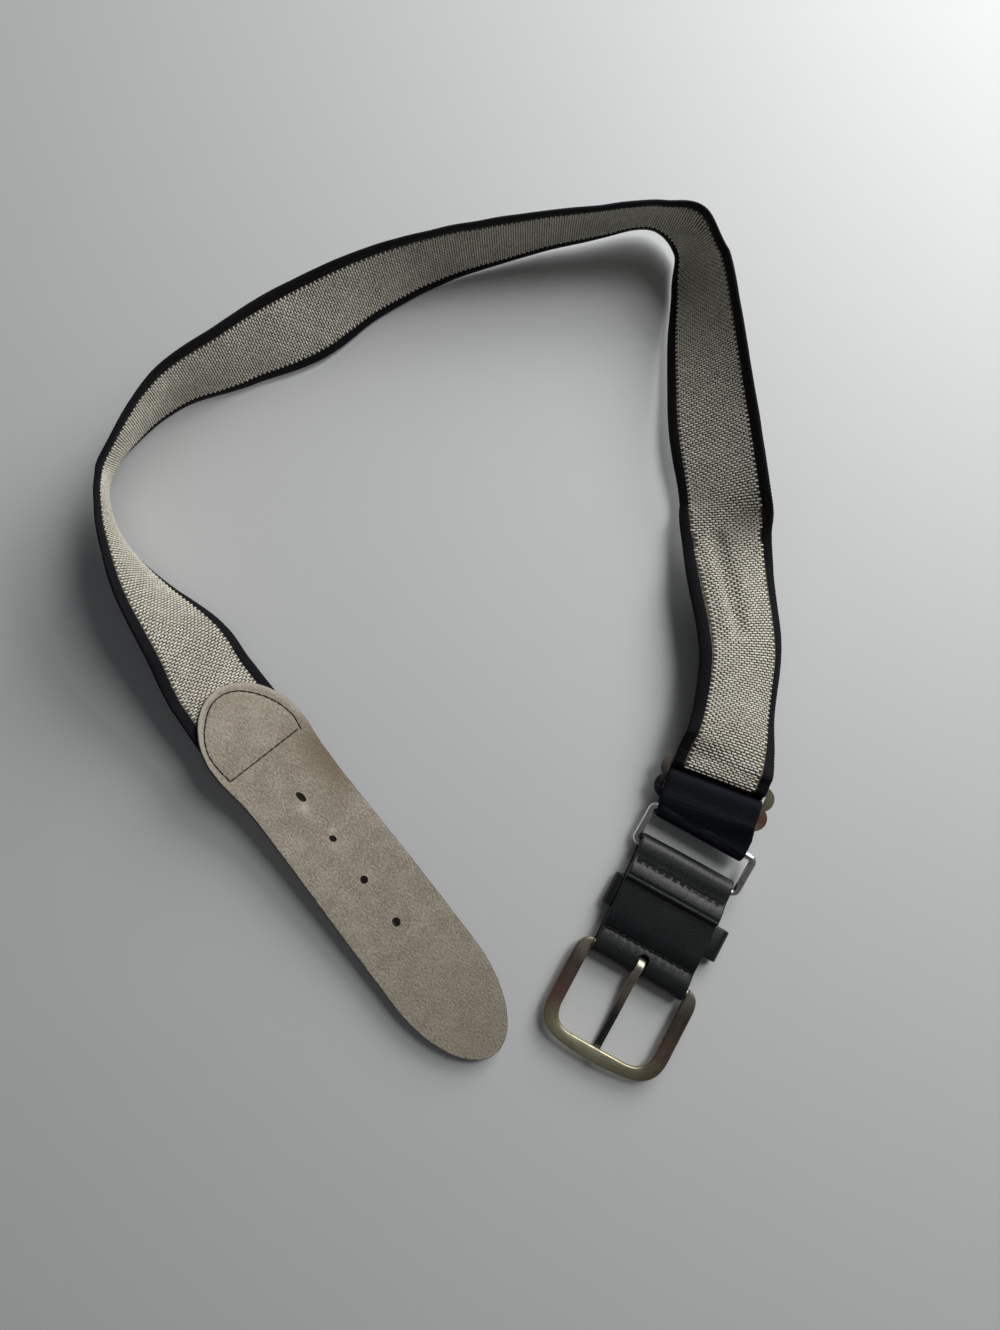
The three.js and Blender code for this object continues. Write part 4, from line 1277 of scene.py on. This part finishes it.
def build_tab(settings):
    """The suede tab with its cut edge, the groove of its stitches, its scuffs and its holes."""
    stations = tab_stations()
    middle, side, normal, width, _ = tab_frames(stations)
    half = width / 2 * tab_roundness(stations)
    from_edge = TAB_EDGE_COLUMNS / TAB_HALF
    inner = 1 - TAB_EDGE_ZONE / TAB_HALF
    columns = np.concatenate([
        -1 + from_edge, np.linspace(-inner, inner, TAB_INNER_COLUMNS), (1 - from_edge)[::-1],
    ])
    across = half[:, None] * columns
    place = in_grid(stations, across)
    flat = place[..., :2].reshape(-1, 2)
    edge = distance_to(flat, tab_outline()).reshape(across.shape)
    edge[:, [0, -1]] = 0
    drop = rounded(edge, TAB_CUT_ROUND)
    stitches = stitch_path()
    to_stitch = distance_to(flat, evenly(stitches, 0.2)[0]).reshape(across.shape)
    groove = TAB_GROOVE * np.exp(-((to_stitch / TAB_GROOVE_REACH) ** 2))
    nap = layers_on_grid(place, TAB_NAP)
    top = TAB_THICK / 2 - drop - groove + nap * (edge > 0.05)
    bottom = -(TAB_THICK / 2 - drop) + TAB_NAP_BELOW * nap
    across, edge, place = (both_faces(values) for values in (across, edge, place))
    height = both_faces(top, bottom)
    ragged = TAB_RAGGED * noise_on_grid(place, 2.0, 5) * (edge < TAB_RAGGED_ZONE) * np.sign(across)
    rings = (
        middle[:, None] + side[:, None] * (across + ragged)[..., None]
        + normal[:, None] * height[..., None]
    )
    tab = loft("suede_tab", rings, place[..., :2])
    set_attribute(tab, "edge", edge)
    set_attribute(tab, "scuff", tab_scuffs(place) * (height > 0))
    for number in range(len(HOLE_ROWS)):
        cut(tab, hole_punch(number))
    finish_piece(tab, "belt", ["leather_tab"], [suede(settings)], sharp=50)
    stitch_tab(settings, stitches)


def tab_scuffs(place):
    """How worn and pale the suede is at places of the tab, from 0 to 1."""
    scuffs = np.zeros(place.shape[:2])
    for along, across, size, strength in SCUFF_ROWS:
        gap = np.hypot(place[..., 0] - along, place[..., 1] - across)
        scuffs += strength * np.exp(-((gap / size) ** 2))
    return np.clip(scuffs, 0, 1)


def stitch_tab(settings, stitches):
    """The thread that sews the tab to the web."""
    spread, direction, length = evenly(stitches, settings.stitch_length / MM)
    height = np.full(len(spread), TAB_THICK / 2 - TAB_STITCH_SINK)
    points, _, normal = on_tab(*spread.T, height)
    ahead = on_tab(*(spread + direction * 0.5).T, height)[0]
    sew(
        settings, "tab_stitches", "suede", points, unit(ahead - points), normal, seed=settings.seed,
        length=length * MM * TAB_STITCH_SHARE, size_spread=0.04, turn_spread=0.05, squareness=0.5,
    )


def sew(settings, name, slot, points, along, upward, **values):
    """Stitches of black thread laid on points of a leather piece."""
    thread = settings.thread_thickness
    piece = lay_threads(
        name, points, along, upward, width=thread, height=thread, sides=8, rings=6,
        material=black_thread(), **values,
    )
    finish_piece(piece, "belt", sharp=0)


def hole_punch(number):
    """Cutter for one hole of the tab."""
    half_length, half_width, turn = HOLE_ROWS[number]
    middle, side, normal, _, _ = (value[0] for value in tab_frames([number * HOLE_SPACING]))
    around = np.linspace(0, 2 * np.pi, 40, endpoint=False)
    oval = np.column_stack([half_length * np.cos(around), half_width * np.sin(around)])
    along, across = turned("Z", turn)[:2, :2] @ oval.T
    rim = middle + np.cross(side, normal) * along[:, None] + side * across[:, None]
    return loft("punch", np.stack([rim - normal * 2.5, rim + normal * 2.5]))


def set_attribute(piece, name, values):
    """Stores one number for each point of a piece."""
    attribute = piece.data.attributes.new(name, "FLOAT", "POINT")
    attribute.data.foreach_set("value", np.asarray(values, float).ravel())


# Buckle end

def strap_path():
    """Middle line of the strap in its side view, from its covered end to its return flap."""
    heel = HEEL_RADIUS + GAP + STRAP_THICK / 2
    ring = WIRE_RADIUS + RING_PLAY + STRAP_THICK / 2
    heel_turn = np.radians(np.arange(90, 271, 22.5))
    ring_turn = np.radians(np.arange(270, 451, 22.5))
    _, ring_y, ring_z = RING_PLACE
    rows = [
        *STRAP_TOP_ROWS,
        *np.column_stack([heel * np.cos(heel_turn), HEEL_HEIGHT + heel * np.sin(heel_turn)]),
        *STRAP_UNDER_ROWS,
        *np.column_stack([ring_y + ring * np.cos(ring_turn), ring_z + ring * np.sin(ring_turn)]),
        *STRAP_RETURN_ROWS,
    ]
    corners = np.array([(0.0, y, z) for y, z in rows])
    fine = catmull_rom(corners, np.linspace(0, 1, 6000))
    distance = distances_along(fine)
    even = np.linspace(0, distance[-1], int(distance[-1] / STRAP_STEP))
    return sample(fine, distance, even), even


def strap_dents(path, distances, across, edge, pucker_pitch):
    """Depth of the dents that the seams and the pressed line make in the strap."""
    y = path[:, 1][:, None]
    pucker = 0.5 + 0.5 * np.cos(2 * np.pi * across / pucker_pitch)
    on_top = path[:, 2][:, None] > HEEL_HEIGHT
    dents = np.zeros_like(across)
    for seam, depth, reach in SEAM_ROWS:
        wander = seam + SEAM_WANDER * (pucker - 0.5)
        near = np.exp(-(((y - wander) / SEAM_LINE_REACH) ** 2)) * (edge > 1.0)
        wide = np.exp(-(((y - seam) / reach) ** 2)) * on_top
        dents += SEAM_LINE_DEPTH * near + depth * wide * (1 - PUCKER_SHARE * pucker)
    on_flap = distances[:, None] > distances[-1] - FLAP_LENGTH
    return dents + PRESSED_DEPTH * np.exp(-(((y - PRESSED_LINE) / PRESSED_REACH) ** 2)) * on_flap


def build_strap(settings):
    """The folded strap with its dents and slot, and its stitches."""
    path, distances = strap_path()
    direction = unit(np.gradient(path, axis=0))
    outward = in_columns(0.0, direction[:, 2], -direction[:, 1])
    half = STRAP_WIDTH / 2
    inner_half = half - STRAP_EDGE_ZONE
    columns = np.concatenate([
        -half + STRAP_EDGE_COLUMNS,
        np.linspace(-inner_half, inner_half, STRAP_INNER_COLUMNS),
        (half - STRAP_EDGE_COLUMNS)[::-1],
    ])
    edge = half - np.abs(columns)
    x = np.broadcast_to(columns, (len(path), len(columns)))
    place = in_grid(distances, x)
    dents = strap_dents(path, distances, x, edge, settings.pucker_pitch / MM)
    grain = layers_on_grid(place, STRAP_GRAIN)
    from_end = np.minimum(distances, distances[-1] - distances)[:, None]
    left = STRAP_THICK / 2 - rounded(edge, STRAP_CUT_ROUND) - rounded(from_end, STRAP_CUT_ROUND)
    across = both_faces(x)
    height = both_faces(left - dents + grain, -left - DENT_SHARE_INSIDE * dents)
    waver = STRAP_WAVER * value_noise(in_columns(distances, 0.0, 0.0), 14.0, 8)
    centre = path + in_columns(STRAP_MIDDLE + STRAP_SKEW * path[:, 1] + waver, 0.0, 0.0)
    points = centre[:, None] + outward[:, None] * height[..., None]
    points[..., 0] += across
    strap = loft("folded_strap", put(BUCKLE, points), grid_map(distances[:, None], across))
    cut(strap, strap_slot())
    finish_piece(strap, "belt", ["buckle_strap"], [black_leather(settings)], sharp=50)
    stitch_strap(settings, path, outward)


def stitch_strap(settings, path, outward):
    """The thread of the strap's two seams, on its upper and on its under side."""
    half = STRAP_WIDTH / 2
    pitch = settings.stitch_length / MM
    spots = np.arange(-half + STITCH_START, half - STITCH_END, pitch)
    points, ups = [], []
    for seam, _, _ in SEAM_ROWS:
        for index in crossings(path[:, 1], seam):
            shift = STRAP_MIDDLE + STRAP_SKEW * path[index, 1]
            level = path[index] + outward[index] * (STRAP_THICK / 2 - STITCH_SINK)
            points.append(level + in_columns(spots + shift, 0.0, 0.0))
            ups.append(np.tile(outward[index], (len(spots), 1)))
    points = np.vstack(points)
    along = np.broadcast_to(BUCKLE[:3, 0], points.shape)
    upward = np.vstack(ups) @ BUCKLE[:3, :3].T
    sew(
        settings, "strap_stitches", "leather", put(BUCKLE, points), along, upward, seed=settings.seed + 1,
        length=pitch * MM * STITCH_SHARE, size_spread=0.05, turn_spread=0.06, squareness=0.6,
    )


def crossings(values, level):
    """Indices where a run of values passes a level."""
    side = values > level
    return np.nonzero(side[1:] != side[:-1])[0]


def strap_slot():
    """Cutter for the prong's slot, with round ends, through the heel fold."""
    half = SLOT_WIDTH / 2
    turn = np.linspace(0, np.pi, 14)
    back = np.column_stack([half * np.cos(turn), SLOT_BACK - half + half * np.sin(turn)])
    front = [(-half, SLOT_FRONT), (half, SLOT_FRONT)]
    rim = np.vstack([back, front]) + [PRONG_PLACE, 0]
    return loft("slot_cutter", put(BUCKLE, np.stack([in_columns(*rim.T, z) for z in (-5.0, 20.0)])))


def build_keeper():
    """The flattened loop of leather round the strap."""
    radius = (KEEPER_HEIGHT - KEEPER_THICK) / 2
    reach = KEEPER_HALF - KEEPER_THICK / 2 - radius
    turn = np.linspace(-np.pi / 2, np.pi / 2, 17)
    right = np.column_stack([reach + radius * np.cos(turn), radius * np.sin(turn)])
    top = in_columns(np.linspace(reach, -reach, KEEPER_RUN_POINTS + 2)[1:-1], radius)
    loop = np.vstack([right, top, -right, -top])
    tangent = unit(np.roll(loop, -1, 0) - np.roll(loop, 1, 0))
    out = in_columns(tangent[:, 1], 0.0, -tangent[:, 0])
    count = len(loop)
    centres = in_columns(
        loop[:, 0] + KEEPER_MIDDLE, (KEEPER_FROM + KEEPER_TO) / 2, loop[:, 1] + KEEPER_HEIGHT / 2
    )
    wobble = KEEPER_WOBBLE * value_noise(centres, 6.0, 11)
    rings = swept_section(
        centres, np.tile([0.0, 1.0, 0.0], (count, 1)), out,
        (KEEPER_TO - KEEPER_FROM) / 2 + wobble, np.full(count, KEEPER_THICK / 2), 0.5, 5,
    )
    uv = grid_map(distances_along(loop)[:, None], rings[..., 1] - centres[:, None, 1])
    keeper = loft("keeper_band", put(BUCKLE, rings), uv, joined=True)
    finish_piece(
        keeper, "belt", ["keeper_loop"], [bpy.data.materials["black_leather"]], sharp=60
    )


def quadratic(a, b, c, steps):
    """Points of a curve with one pull point."""
    t = np.linspace(0, 1, steps)[:, None]
    return (1 - t) ** 2 * np.array(a) + 2 * t * (1 - t) * np.array(b) + t**2 * np.array(c)


def cubic(a, b, c, d, steps):
    """Points of a curve with two pull points."""
    t = np.linspace(0, 1, steps)[:, None]
    return (
        (1 - t) ** 3 * np.array(a) + 3 * t * (1 - t) ** 2 * np.array(b)
        + 3 * t**2 * (1 - t) * np.array(c) + t**3 * np.array(d)
    )


def frame_outlines():
    """Right half of the buckle frame's outer and inner outline, from the heel to the front's middle."""
    half, at_heel, front = FRAME_HALF, FRAME_HALF_AT_HEEL, FRAME_FRONT
    across, along, pull, rise = 13, 14, 5, 0.9
    side = HEEL_RADIUS - FRAME_HEEL_CORNER
    outer = np.vstack([
        quadratic((at_heel, HEEL_RADIUS), (half, HEEL_RADIUS - 1), (half, side), 24),
        in_columns(half, np.linspace(side, front + along, 20)),
        cubic((half, front + along), (half, front + pull), (half - pull, front + 2 * rise),
              (half - across, front + rise), 40),
        quadratic((half - across, front + rise), (0, front - rise), (across - half, front + rise), 41)[:21],
    ])
    inner_half, inner_front, corner = FRAME_INNER_HALF, FRAME_INNER_FRONT, FRAME_INNER_CORNER
    inner = np.vstack([
        in_columns(inner_half, np.linspace(HEEL_RADIUS, inner_front + corner, 20)),
        quadratic((inner_half, inner_front + corner), (inner_half, inner_front),
                  (inner_half - corner, inner_front), 30),
        [(0.0, inner_front)],
    ])
    return outer, inner


def where_ray_meets(outline, centre, angles):
    """Points where rays from a centre meet an outline that turns steadily round it."""
    offset = outline - centre
    bearing = np.arctan2(offset[:, 1], offset[:, 0])
    order = np.argsort(bearing)
    bearing = bearing[order]
    reach = np.linalg.norm(offset, axis=1)[order]
    corners = offset[order]
    result = []
    for angle in angles:
        i = int(np.clip(np.searchsorted(bearing, angle), 1, len(bearing) - 1))
        a, b = corners[i - 1], corners[i]
        ray = np.array([math.cos(angle), math.sin(angle)])
        cross = ray[0] * (b - a)[1] - ray[1] * (b - a)[0]
        far = reach[i] if abs(cross) < 1e-9 else (a[0] * (b - a)[1] - a[1] * (b - a)[0]) / cross
        result.append(centre + ray * far)
    return np.array(result)


def frame_bow():
    """The bent bow of the buckle frame, from one end of the heel bar round to the other."""
    outer, inner = frame_outlines()
    centre = np.array(FRAME_RAY_CENTRE)
    start = math.atan2(HEEL_RADIUS - BAR_INTO_FRAME - centre[1], FRAME_HALF_AT_HEEL)
    angles = np.linspace(start, -math.pi / 2, 150)
    outside = where_ray_meets(outer, centre, angles)
    inside = where_ray_meets(inner, centre, angles)
    outside = np.vstack([outside, outside[-2::-1] * [-1, 1]])
    inside = np.vstack([inside, inside[-2::-1] * [-1, 1]])
    middle = (outside + inside) / 2
    width = np.linalg.norm(outside - inside, axis=1) / 2
    count = len(middle)
    centres = in_columns(*middle.T, HEEL_HEIGHT)
    rings = swept_section(
        centres, in_columns(*unit(outside - inside).T, 0.0), np.tile(UP, (count, 1)), width,
        np.full(count, FRAME_THICK / 2), 0.85, 6,
    )
    distance = distances_along(middle)
    spread = (rings[..., 0] - centres[:, None, 0]) + (rings[..., 1] - centres[:, None, 1])
    return loft("bent_frame", put(BUCKLE, rings), grid_map(distance[:, None] / distance[-1] * 100, spread))


def heel_bar():
    """The round bar of the buckle frame, with rounded ends."""
    end = FRAME_HALF_AT_HEEL + BAR_INTO_FRAME
    end_x = end - BAR_ROUND * (1 - np.cos(np.linspace(np.pi / 2, 0.2, 6)))
    x = np.concatenate([-end_x[::-1], np.linspace(-19, 19, 20), end_x])
    into = np.clip((end - np.abs(x)) / BAR_ROUND, 0.02, 1)
    radius = (HEEL_RADIUS * np.sqrt(1 - (1 - into) ** 2))[:, None]
    turn = np.linspace(0, 2 * np.pi, 28, endpoint=False)
    bar = grid_map(x[:, None], radius * np.cos(turn), HEEL_HEIGHT + radius * np.sin(turn))
    return loft("heel_bar", put(BUCKLE, bar), grid_map(x[:, None] + 20, turn * HEEL_RADIUS))


def prong_shaft():
    """The prong's shaft, from its eye to its tip."""
    fine = catmull_rom(np.array(PRONG_ROWS, float), np.linspace(0, 1, 90))
    y, low, high, width = fine.T
    y = np.minimum(y, PRONG_ROWS[0][0])
    count = len(y)
    centres = in_columns(PRONG_PLACE + 0.7 * np.clip(-y / 20, 0, 1), y, (low + high) / 2)
    rings = swept_section(
        centres, np.tile([1.0, 0, 0], (count, 1)), np.tile(UP, (count, 1)), width / 2,
        np.maximum(0.2, (high - low) / 2), 0.7, 5,
    )
    return loft("prong_shaft", put(BUCKLE, rings), grid_map(-y[:, None], rings[..., 0] - PRONG_PLACE))


def prong_eye():
    """The prong's eye, a band round the heel bar."""
    turn = np.linspace(0, 2 * np.pi, 48, endpoint=False)
    count = len(turn)
    radial = in_columns(0.0, np.cos(turn), np.sin(turn))
    bore = HEEL_RADIUS + GAP
    centres = radial * (PRONG_EYE_RADIUS + bore) / 2 + [PRONG_PLACE, 0, HEEL_HEIGHT]
    rings = swept_section(
        centres, np.tile([1.0, 0, 0], (count, 1)), radial, np.full(count, PRONG_WIDTH / 2),
        np.full(count, (PRONG_EYE_RADIUS - bore) / 2), 0.6, 5,
    )
    uv = grid_map(turn[:, None] * 0.5, rings[..., 0] - PRONG_PLACE)
    return loft("prong_eye", put(BUCKLE, rings), uv, joined=True)


def build_buckle():
    """The buckle frame with its heel bar, and the prong."""
    piece = frame_bow()
    join_to(piece, heel_bar())
    # Plating whose colour zones paint the frame's reflections and shade
    worn_frame = plating_painted_reflections("worn_frame", FRAME_ZONES)
    finish_piece(piece, "buckle", ["buckle_frame"], [worn_frame], sharp=50)
    prong = prong_shaft()
    join_to(prong, prong_eye())
    # Plating whose colour zones paint the prong's highlights and its darker shaft
    worn_prong = plating_painted_reflections("worn_prong", PRONG_ZONES)
    finish_piece(prong, "tongue", ["prong"], [worn_prong], sharp=50)


def build_ring(settings):
    """The ring of bright wire, slightly uneven."""
    corners = [(1, 1, 0), (-1, 1, 90), (-1, -1, 180), (1, -1, 270)]
    path = []
    for across, along, start in corners:
        turn = np.radians(np.linspace(start, start + 90, 9))
        x = across * (RING_HALF - RING_CORNER) + RING_CORNER * np.cos(turn)
        y = RING_LENGTH / 2 + along * (RING_LENGTH / 2 - RING_CORNER) + RING_CORNER * np.sin(turn)
        path.append(np.column_stack([x, y]))
    path = np.vstack(path)
    dense = []
    for a, b in zip(path, np.roll(path, -1, 0)):
        steps = max(1, int(np.linalg.norm(b - a) / 1.5))
        dense.append(a + (b - a) * np.linspace(0, 1, steps, endpoint=False)[:, None])
    path = np.vstack(dense)
    spots = in_columns(*path.T, 0.0)
    path = path + RING_WOBBLE * np.column_stack([value_noise(spots, 12.0, seed) for seed in (21, 22)])
    tangent = unit(np.roll(path, -1, 0) - np.roll(path, 1, 0))
    out = in_columns(tangent[:, 1], -tangent[:, 0], 0.0)
    turn = np.linspace(0, 2 * np.pi, 24, endpoint=False)
    centres = in_columns(*path.T, 0.0)
    rings = centres[:, None] + WIRE_RADIUS * (
        np.cos(turn)[None, :, None] * out[:, None] + np.sin(turn)[None, :, None] * UP
    )
    uv = grid_map(distances_along(path)[:, None], turn * WIRE_RADIUS)
    ring = loft("bright_ring", put(RING, rings), uv, joined=True)
    finish_piece(ring, "belt", ["wire_ring"], [bright_wire(settings)], sharp=0)


def slide_outline():
    """Outline of the slide's plate: two round lobes at each end."""
    notch = math.asin(LOBE_ALONG / LOBE_RADIUS)
    arcs = [
        (-LOBE_ACROSS, LOBE_ALONG, math.pi / 2, math.pi + notch),
        (-LOBE_ACROSS, -LOBE_ALONG, math.pi - notch, 1.5 * math.pi),
        (LOBE_ACROSS, -LOBE_ALONG, -math.pi / 2, notch),
        (LOBE_ACROSS, LOBE_ALONG, -notch, math.pi / 2),
    ]
    points = []
    for x, y, start, end in arcs:
        turn = np.linspace(start, end, 24)
        points.append(np.column_stack([x + LOBE_RADIUS * np.cos(turn), y + LOBE_RADIUS * np.sin(turn)]))
    return np.vstack(points)


def plate(name, outline, matrix, low, high):
    """Flat plate between two heights."""
    rings = np.stack([in_columns(*outline.T, z) for z in (low, high)])
    return loft(name, put(matrix, rings), rings[..., :2])


def slot_outline(near, far):
    """Outline of one slot of the slide, with rounded corners."""
    turn = np.linspace(0, np.pi / 2, 6)
    quarter = np.column_stack([np.cos(turn), np.sin(turn)]) * SLIDE_SLOT_CORNER
    half = SLIDE_SLOT_HALF - SLIDE_SLOT_CORNER
    low, high = near + SLIDE_SLOT_CORNER, far - SLIDE_SLOT_CORNER
    corners = [(half, high), (-half, high), (-half, low), (half, low)]
    return np.vstack([
        quarter @ turned("Z", 90 * number)[:2, :2].T + corner for number, corner in enumerate(corners)
    ])


def shift_colours(slide):
    """Turn the slide's map so that each of its four lobes has its own stretch of the colour zones, which
    paint its reflections and shade.
    """
    layer = slide.data.uv_layers.active.data
    flat = np.empty(len(layer) * 2)
    layer.foreach_get("uv", flat)
    start, across, along = SLIDE_MAP
    flat[0::2] = start + across * flat[0::2] + along * flat[1::2]
    layer.foreach_set("uv", flat)


def build_slide():
    """The flat slide with its two slots."""
    slide = plate("lobed_slide", slide_outline(), SLIDE, -SLIDE_THICK / 2, SLIDE_THICK / 2)
    for near, far in ((SLIDE_SLOT_NEAR, SLIDE_SLOT_FAR), (-SLIDE_SLOT_FAR, -SLIDE_SLOT_NEAR)):
        cut(slide, plate("slot", slot_outline(near, far), SLIDE, -3, 3))
    shift_colours(slide)
    use_modifier(
        slide, "BEVEL", width=SLIDE_BEVEL * MM, segments=4, limit_method="ANGLE", harden_normals=True,
        angle_limit=math.radians(50),
    )
    # Plating whose colour zones paint the slide's reflections and shade
    worn_slide = plating_painted_reflections("worn_slide", SLIDE_ZONES)
    finish_piece(slide, "belt", ["slide_adjuster"], [worn_slide], sharp=0)


# Stage

def aimed(place, target):
    """Rotation that points a camera or a light from a place at a target."""
    return (Vector(target) - Vector(place)).to_track_quat("-Z", "Y").to_euler()


def place_camera():
    """The camera above the belt."""
    data = bpy.data.cameras.new("camera")
    data.sensor_fit = "VERTICAL"
    data.sensor_height = SENSOR
    data.lens = CAMERA_LENS
    camera = link(bpy.data.objects.new("camera", data))
    camera.location = CAMERA_PLACE
    camera.rotation_euler = aimed(CAMERA_PLACE, CAMERA_AIM)
    bpy.context.scene.camera = camera


def lay_floor(settings):
    """The pale floor, just under the belt."""
    half = settings.floor_half
    mesh = bpy.data.meshes.new("floor")
    corners = [(-half, -half, 0), (half, -half, 0), (half, half, 0), (-half, half, 0)]
    mesh.from_pydata(corners, [], [(0, 1, 2, 3)])
    floor = link(bpy.data.objects.new("floor", mesh))
    floor.location.z = -FLOOR_DROP
    floor.data.materials.append(pale_floor(settings))


def set_lights(settings):
    """The soft lights, and the dim light from all round."""
    for name, place, size in LIGHT_ROWS:
        data = bpy.data.lights.new(name, "AREA")
        data.shape = "SQUARE"
        data.size = size
        data.energy = getattr(settings, f"{name}_power")
        light = link(bpy.data.objects.new(name, data))
        light.location = place
        light.rotation_euler = aimed(place, (0, 0, 0))
    world = bpy.data.worlds.new("soft_light")
    world.use_nodes = True
    background = world.node_tree.nodes["Background"]
    background.inputs["Color"].default_value = SKY_COLOUR
    background.inputs["Strength"].default_value = settings.sky_strength
    bpy.context.scene.world = world


def build_stage(settings):
    """Camera, floor and light."""
    place_camera()
    lay_floor(settings)
    set_lights(settings)
    bpy.context.scene.view_settings.view_transform = "Standard"


# Add-on

def shade(label, default, about):
    """A colour that can be set in the panel."""
    return bpy.props.FloatVectorProperty(
        name=label, description=about, default=default, size=3, min=0, max=1, subtype="COLOR"
    )


def length(label, default, about):
    """A length that can be set in the panel, in metres."""
    return bpy.props.FloatProperty(
        name=label, description=about, default=default, min=0.00001, unit="LENGTH", subtype="DISTANCE"
    )


def power(label, default, about):
    """A power of a light that can be set in the panel, in watts."""
    return bpy.props.FloatProperty(name=label, description=about, default=default, min=0, unit="POWER")


class BeltSettings(bpy.types.PropertyGroup):
    """Sizes and colours of the belt"""

    rib_pitch: length("Rib Pitch", 0.00102, "Distance between the ribs of the web's black faces")
    rib_height: length("Rib Height", 0.00010, "Height of those ribs above their middle")
    row_pitch: length("Row Pitch", 0.00094, "Distance between the rows of cream yarn, along the web")
    float_spacing: length("Yarn Spacing", 0.0022, "Distance between the yarns of one row, across the web")
    float_length: length("Yarn Length", 0.00202, "Length of one visible piece of cream yarn")
    float_width: length("Yarn Width", 0.00087, "Width of one visible piece of cream yarn")
    float_height: length("Yarn Height", 0.00052, "Thickness of one visible piece of cream yarn")
    stitch_length: length("Stitch Length", 0.0030, "Length of one stitch in the leather")
    pucker_pitch: length("Pucker Pitch", 0.0037, "Distance between the puckers along the strap's seams")
    thread_thickness: length("Thread", 0.00055, "Thickness of the sewing thread")
    seed: bpy.props.IntProperty(name="Seed", description="Start of the random sizes", default=7)
    yarn: shade("Yarn", (0.93, 0.90, 0.79), "Cream yarn of the web's inner face")
    yarn_shaded: shade("Darker Yarn", (0.74, 0.70, 0.58), "Darker pieces of the cream yarn")
    web_edge: shade("Web Edge", (0.003, 0.003, 0.004), "Woven edges of the web")
    web_back: shade("Web Back", (0.003, 0.005, 0.010), "Outer face of the web")
    suede: shade("Suede", (0.47, 0.415, 0.335), "Flesh side of the tab's leather")
    suede_shaded: shade("Darker Suede", (0.36, 0.31, 0.24), "Darker patches of the suede")
    leather: shade("Leather", (0.002, 0.003, 0.0035), "Black leather of the buckle end")
    wire: shade("Wire", (0.88, 0.88, 0.84), "Bright wire of the ring")


class StageSettings(bpy.types.PropertyGroup):
    """Floor and light"""

    floor: shade("Floor", (0.72, 0.73, 0.73), "Colour of the floor")
    floor_half: length("Floor Size", 1.5, "Half the side of the floor")
    far_power: power("Far Light", 3.2, "Power of the soft light beyond the belt, in watts")
    side_power: power("Side Light", 2.6, "Power of the soft light at the right, in watts")
    high_power: power("High Light", 7.4, "Power of the soft light high on the right, in watts")
    sky_strength: bpy.props.FloatProperty(
        name="Sky", description="Strength of the light from all round", default=0.075, min=0
    )


class BELT_OT_web(bpy.types.Operator):
    """Build the stretch web and the cream yarn on its inner face"""

    bl_idname = "belt.web"
    bl_label = "Web"

    def execute(self, context):
        build_web(context.scene.belt)
        return {"FINISHED"}


class BELT_OT_tab(bpy.types.Operator):
    """Build the suede tab, its holes and its stitches"""

    bl_idname = "belt.tab"
    bl_label = "Tab"

    def execute(self, context):
        build_tab(context.scene.belt)
        return {"FINISHED"}


class BELT_OT_strap(bpy.types.Operator):
    """Build the folded black strap and its stitches"""

    bl_idname = "belt.strap"
    bl_label = "Buckle Strap"

    def execute(self, context):
        build_strap(context.scene.belt)
        return {"FINISHED"}


class BELT_OT_keeper(bpy.types.Operator):
    """Build the keeper loop"""

    bl_idname = "belt.keeper"
    bl_label = "Keeper"

    def execute(self, context):
        build_keeper()
        return {"FINISHED"}


class BELT_OT_buckle(bpy.types.Operator):
    """Build the buckle frame and its prong"""

    bl_idname = "belt.buckle"
    bl_label = "Buckle Frame and Prong"

    def execute(self, context):
        build_buckle()
        return {"FINISHED"}


class BELT_OT_ring(bpy.types.Operator):
    """Build the wire ring"""

    bl_idname = "belt.ring"
    bl_label = "Ring"

    def execute(self, context):
        build_ring(context.scene.belt)
        return {"FINISHED"}


class BELT_OT_slide(bpy.types.Operator):
    """Build the slide with its round lobes"""

    bl_idname = "belt.slide"
    bl_label = "Slide"

    def execute(self, context):
        build_slide()
        return {"FINISHED"}


class BELT_OT_stage(bpy.types.Operator):
    """Build the floor, the lights and the camera"""

    bl_idname = "belt.stage"
    bl_label = "Stage"

    def execute(self, context):
        build_stage(context.scene.belt_stage)
        return {"FINISHED"}


OPERATORS = (
    BELT_OT_stage, BELT_OT_web, BELT_OT_tab, BELT_OT_strap, BELT_OT_keeper, BELT_OT_buckle, BELT_OT_ring,
    BELT_OT_slide,
)


class BELT_PT_panel(bpy.types.Panel):
    """Panel with the belt's sizes and colours, and a button for each piece"""

    bl_idname = "BELT_PT_panel"
    bl_label = "Elastic Belt"
    bl_space_type = "VIEW_3D"
    bl_region_type = "UI"
    bl_category = "Belt"

    def draw(self, context):
        for settings in (context.scene.belt, context.scene.belt_stage):
            column = self.layout.column()
            for key in settings.__annotations__:
                column.prop(settings, key)
        for operator in OPERATORS:
            self.layout.operator(operator.bl_idname)


CLASSES = (BeltSettings, StageSettings, *OPERATORS, BELT_PT_panel)


def register():
    """Registers the add-on's classes and its settings."""
    for item in CLASSES:
        bpy.utils.register_class(item)
    bpy.types.Scene.belt = bpy.props.PointerProperty(type=BeltSettings)
    bpy.types.Scene.belt_stage = bpy.props.PointerProperty(type=StageSettings)


def unregister():
    """Takes them away again."""
    del bpy.types.Scene.belt_stage
    del bpy.types.Scene.belt
    for item in reversed(CLASSES):
        bpy.utils.unregister_class(item)


def main():
    """Builds the whole scene."""
    register()
    for operator in OPERATORS:
        group, name = operator.bl_idname.split(".")
        result = getattr(getattr(bpy.ops, group), name)()
        if result != {"FINISHED"}:
            raise RuntimeError(f"{operator.bl_label} did not finish")


if __name__ == "__main__":
    main()
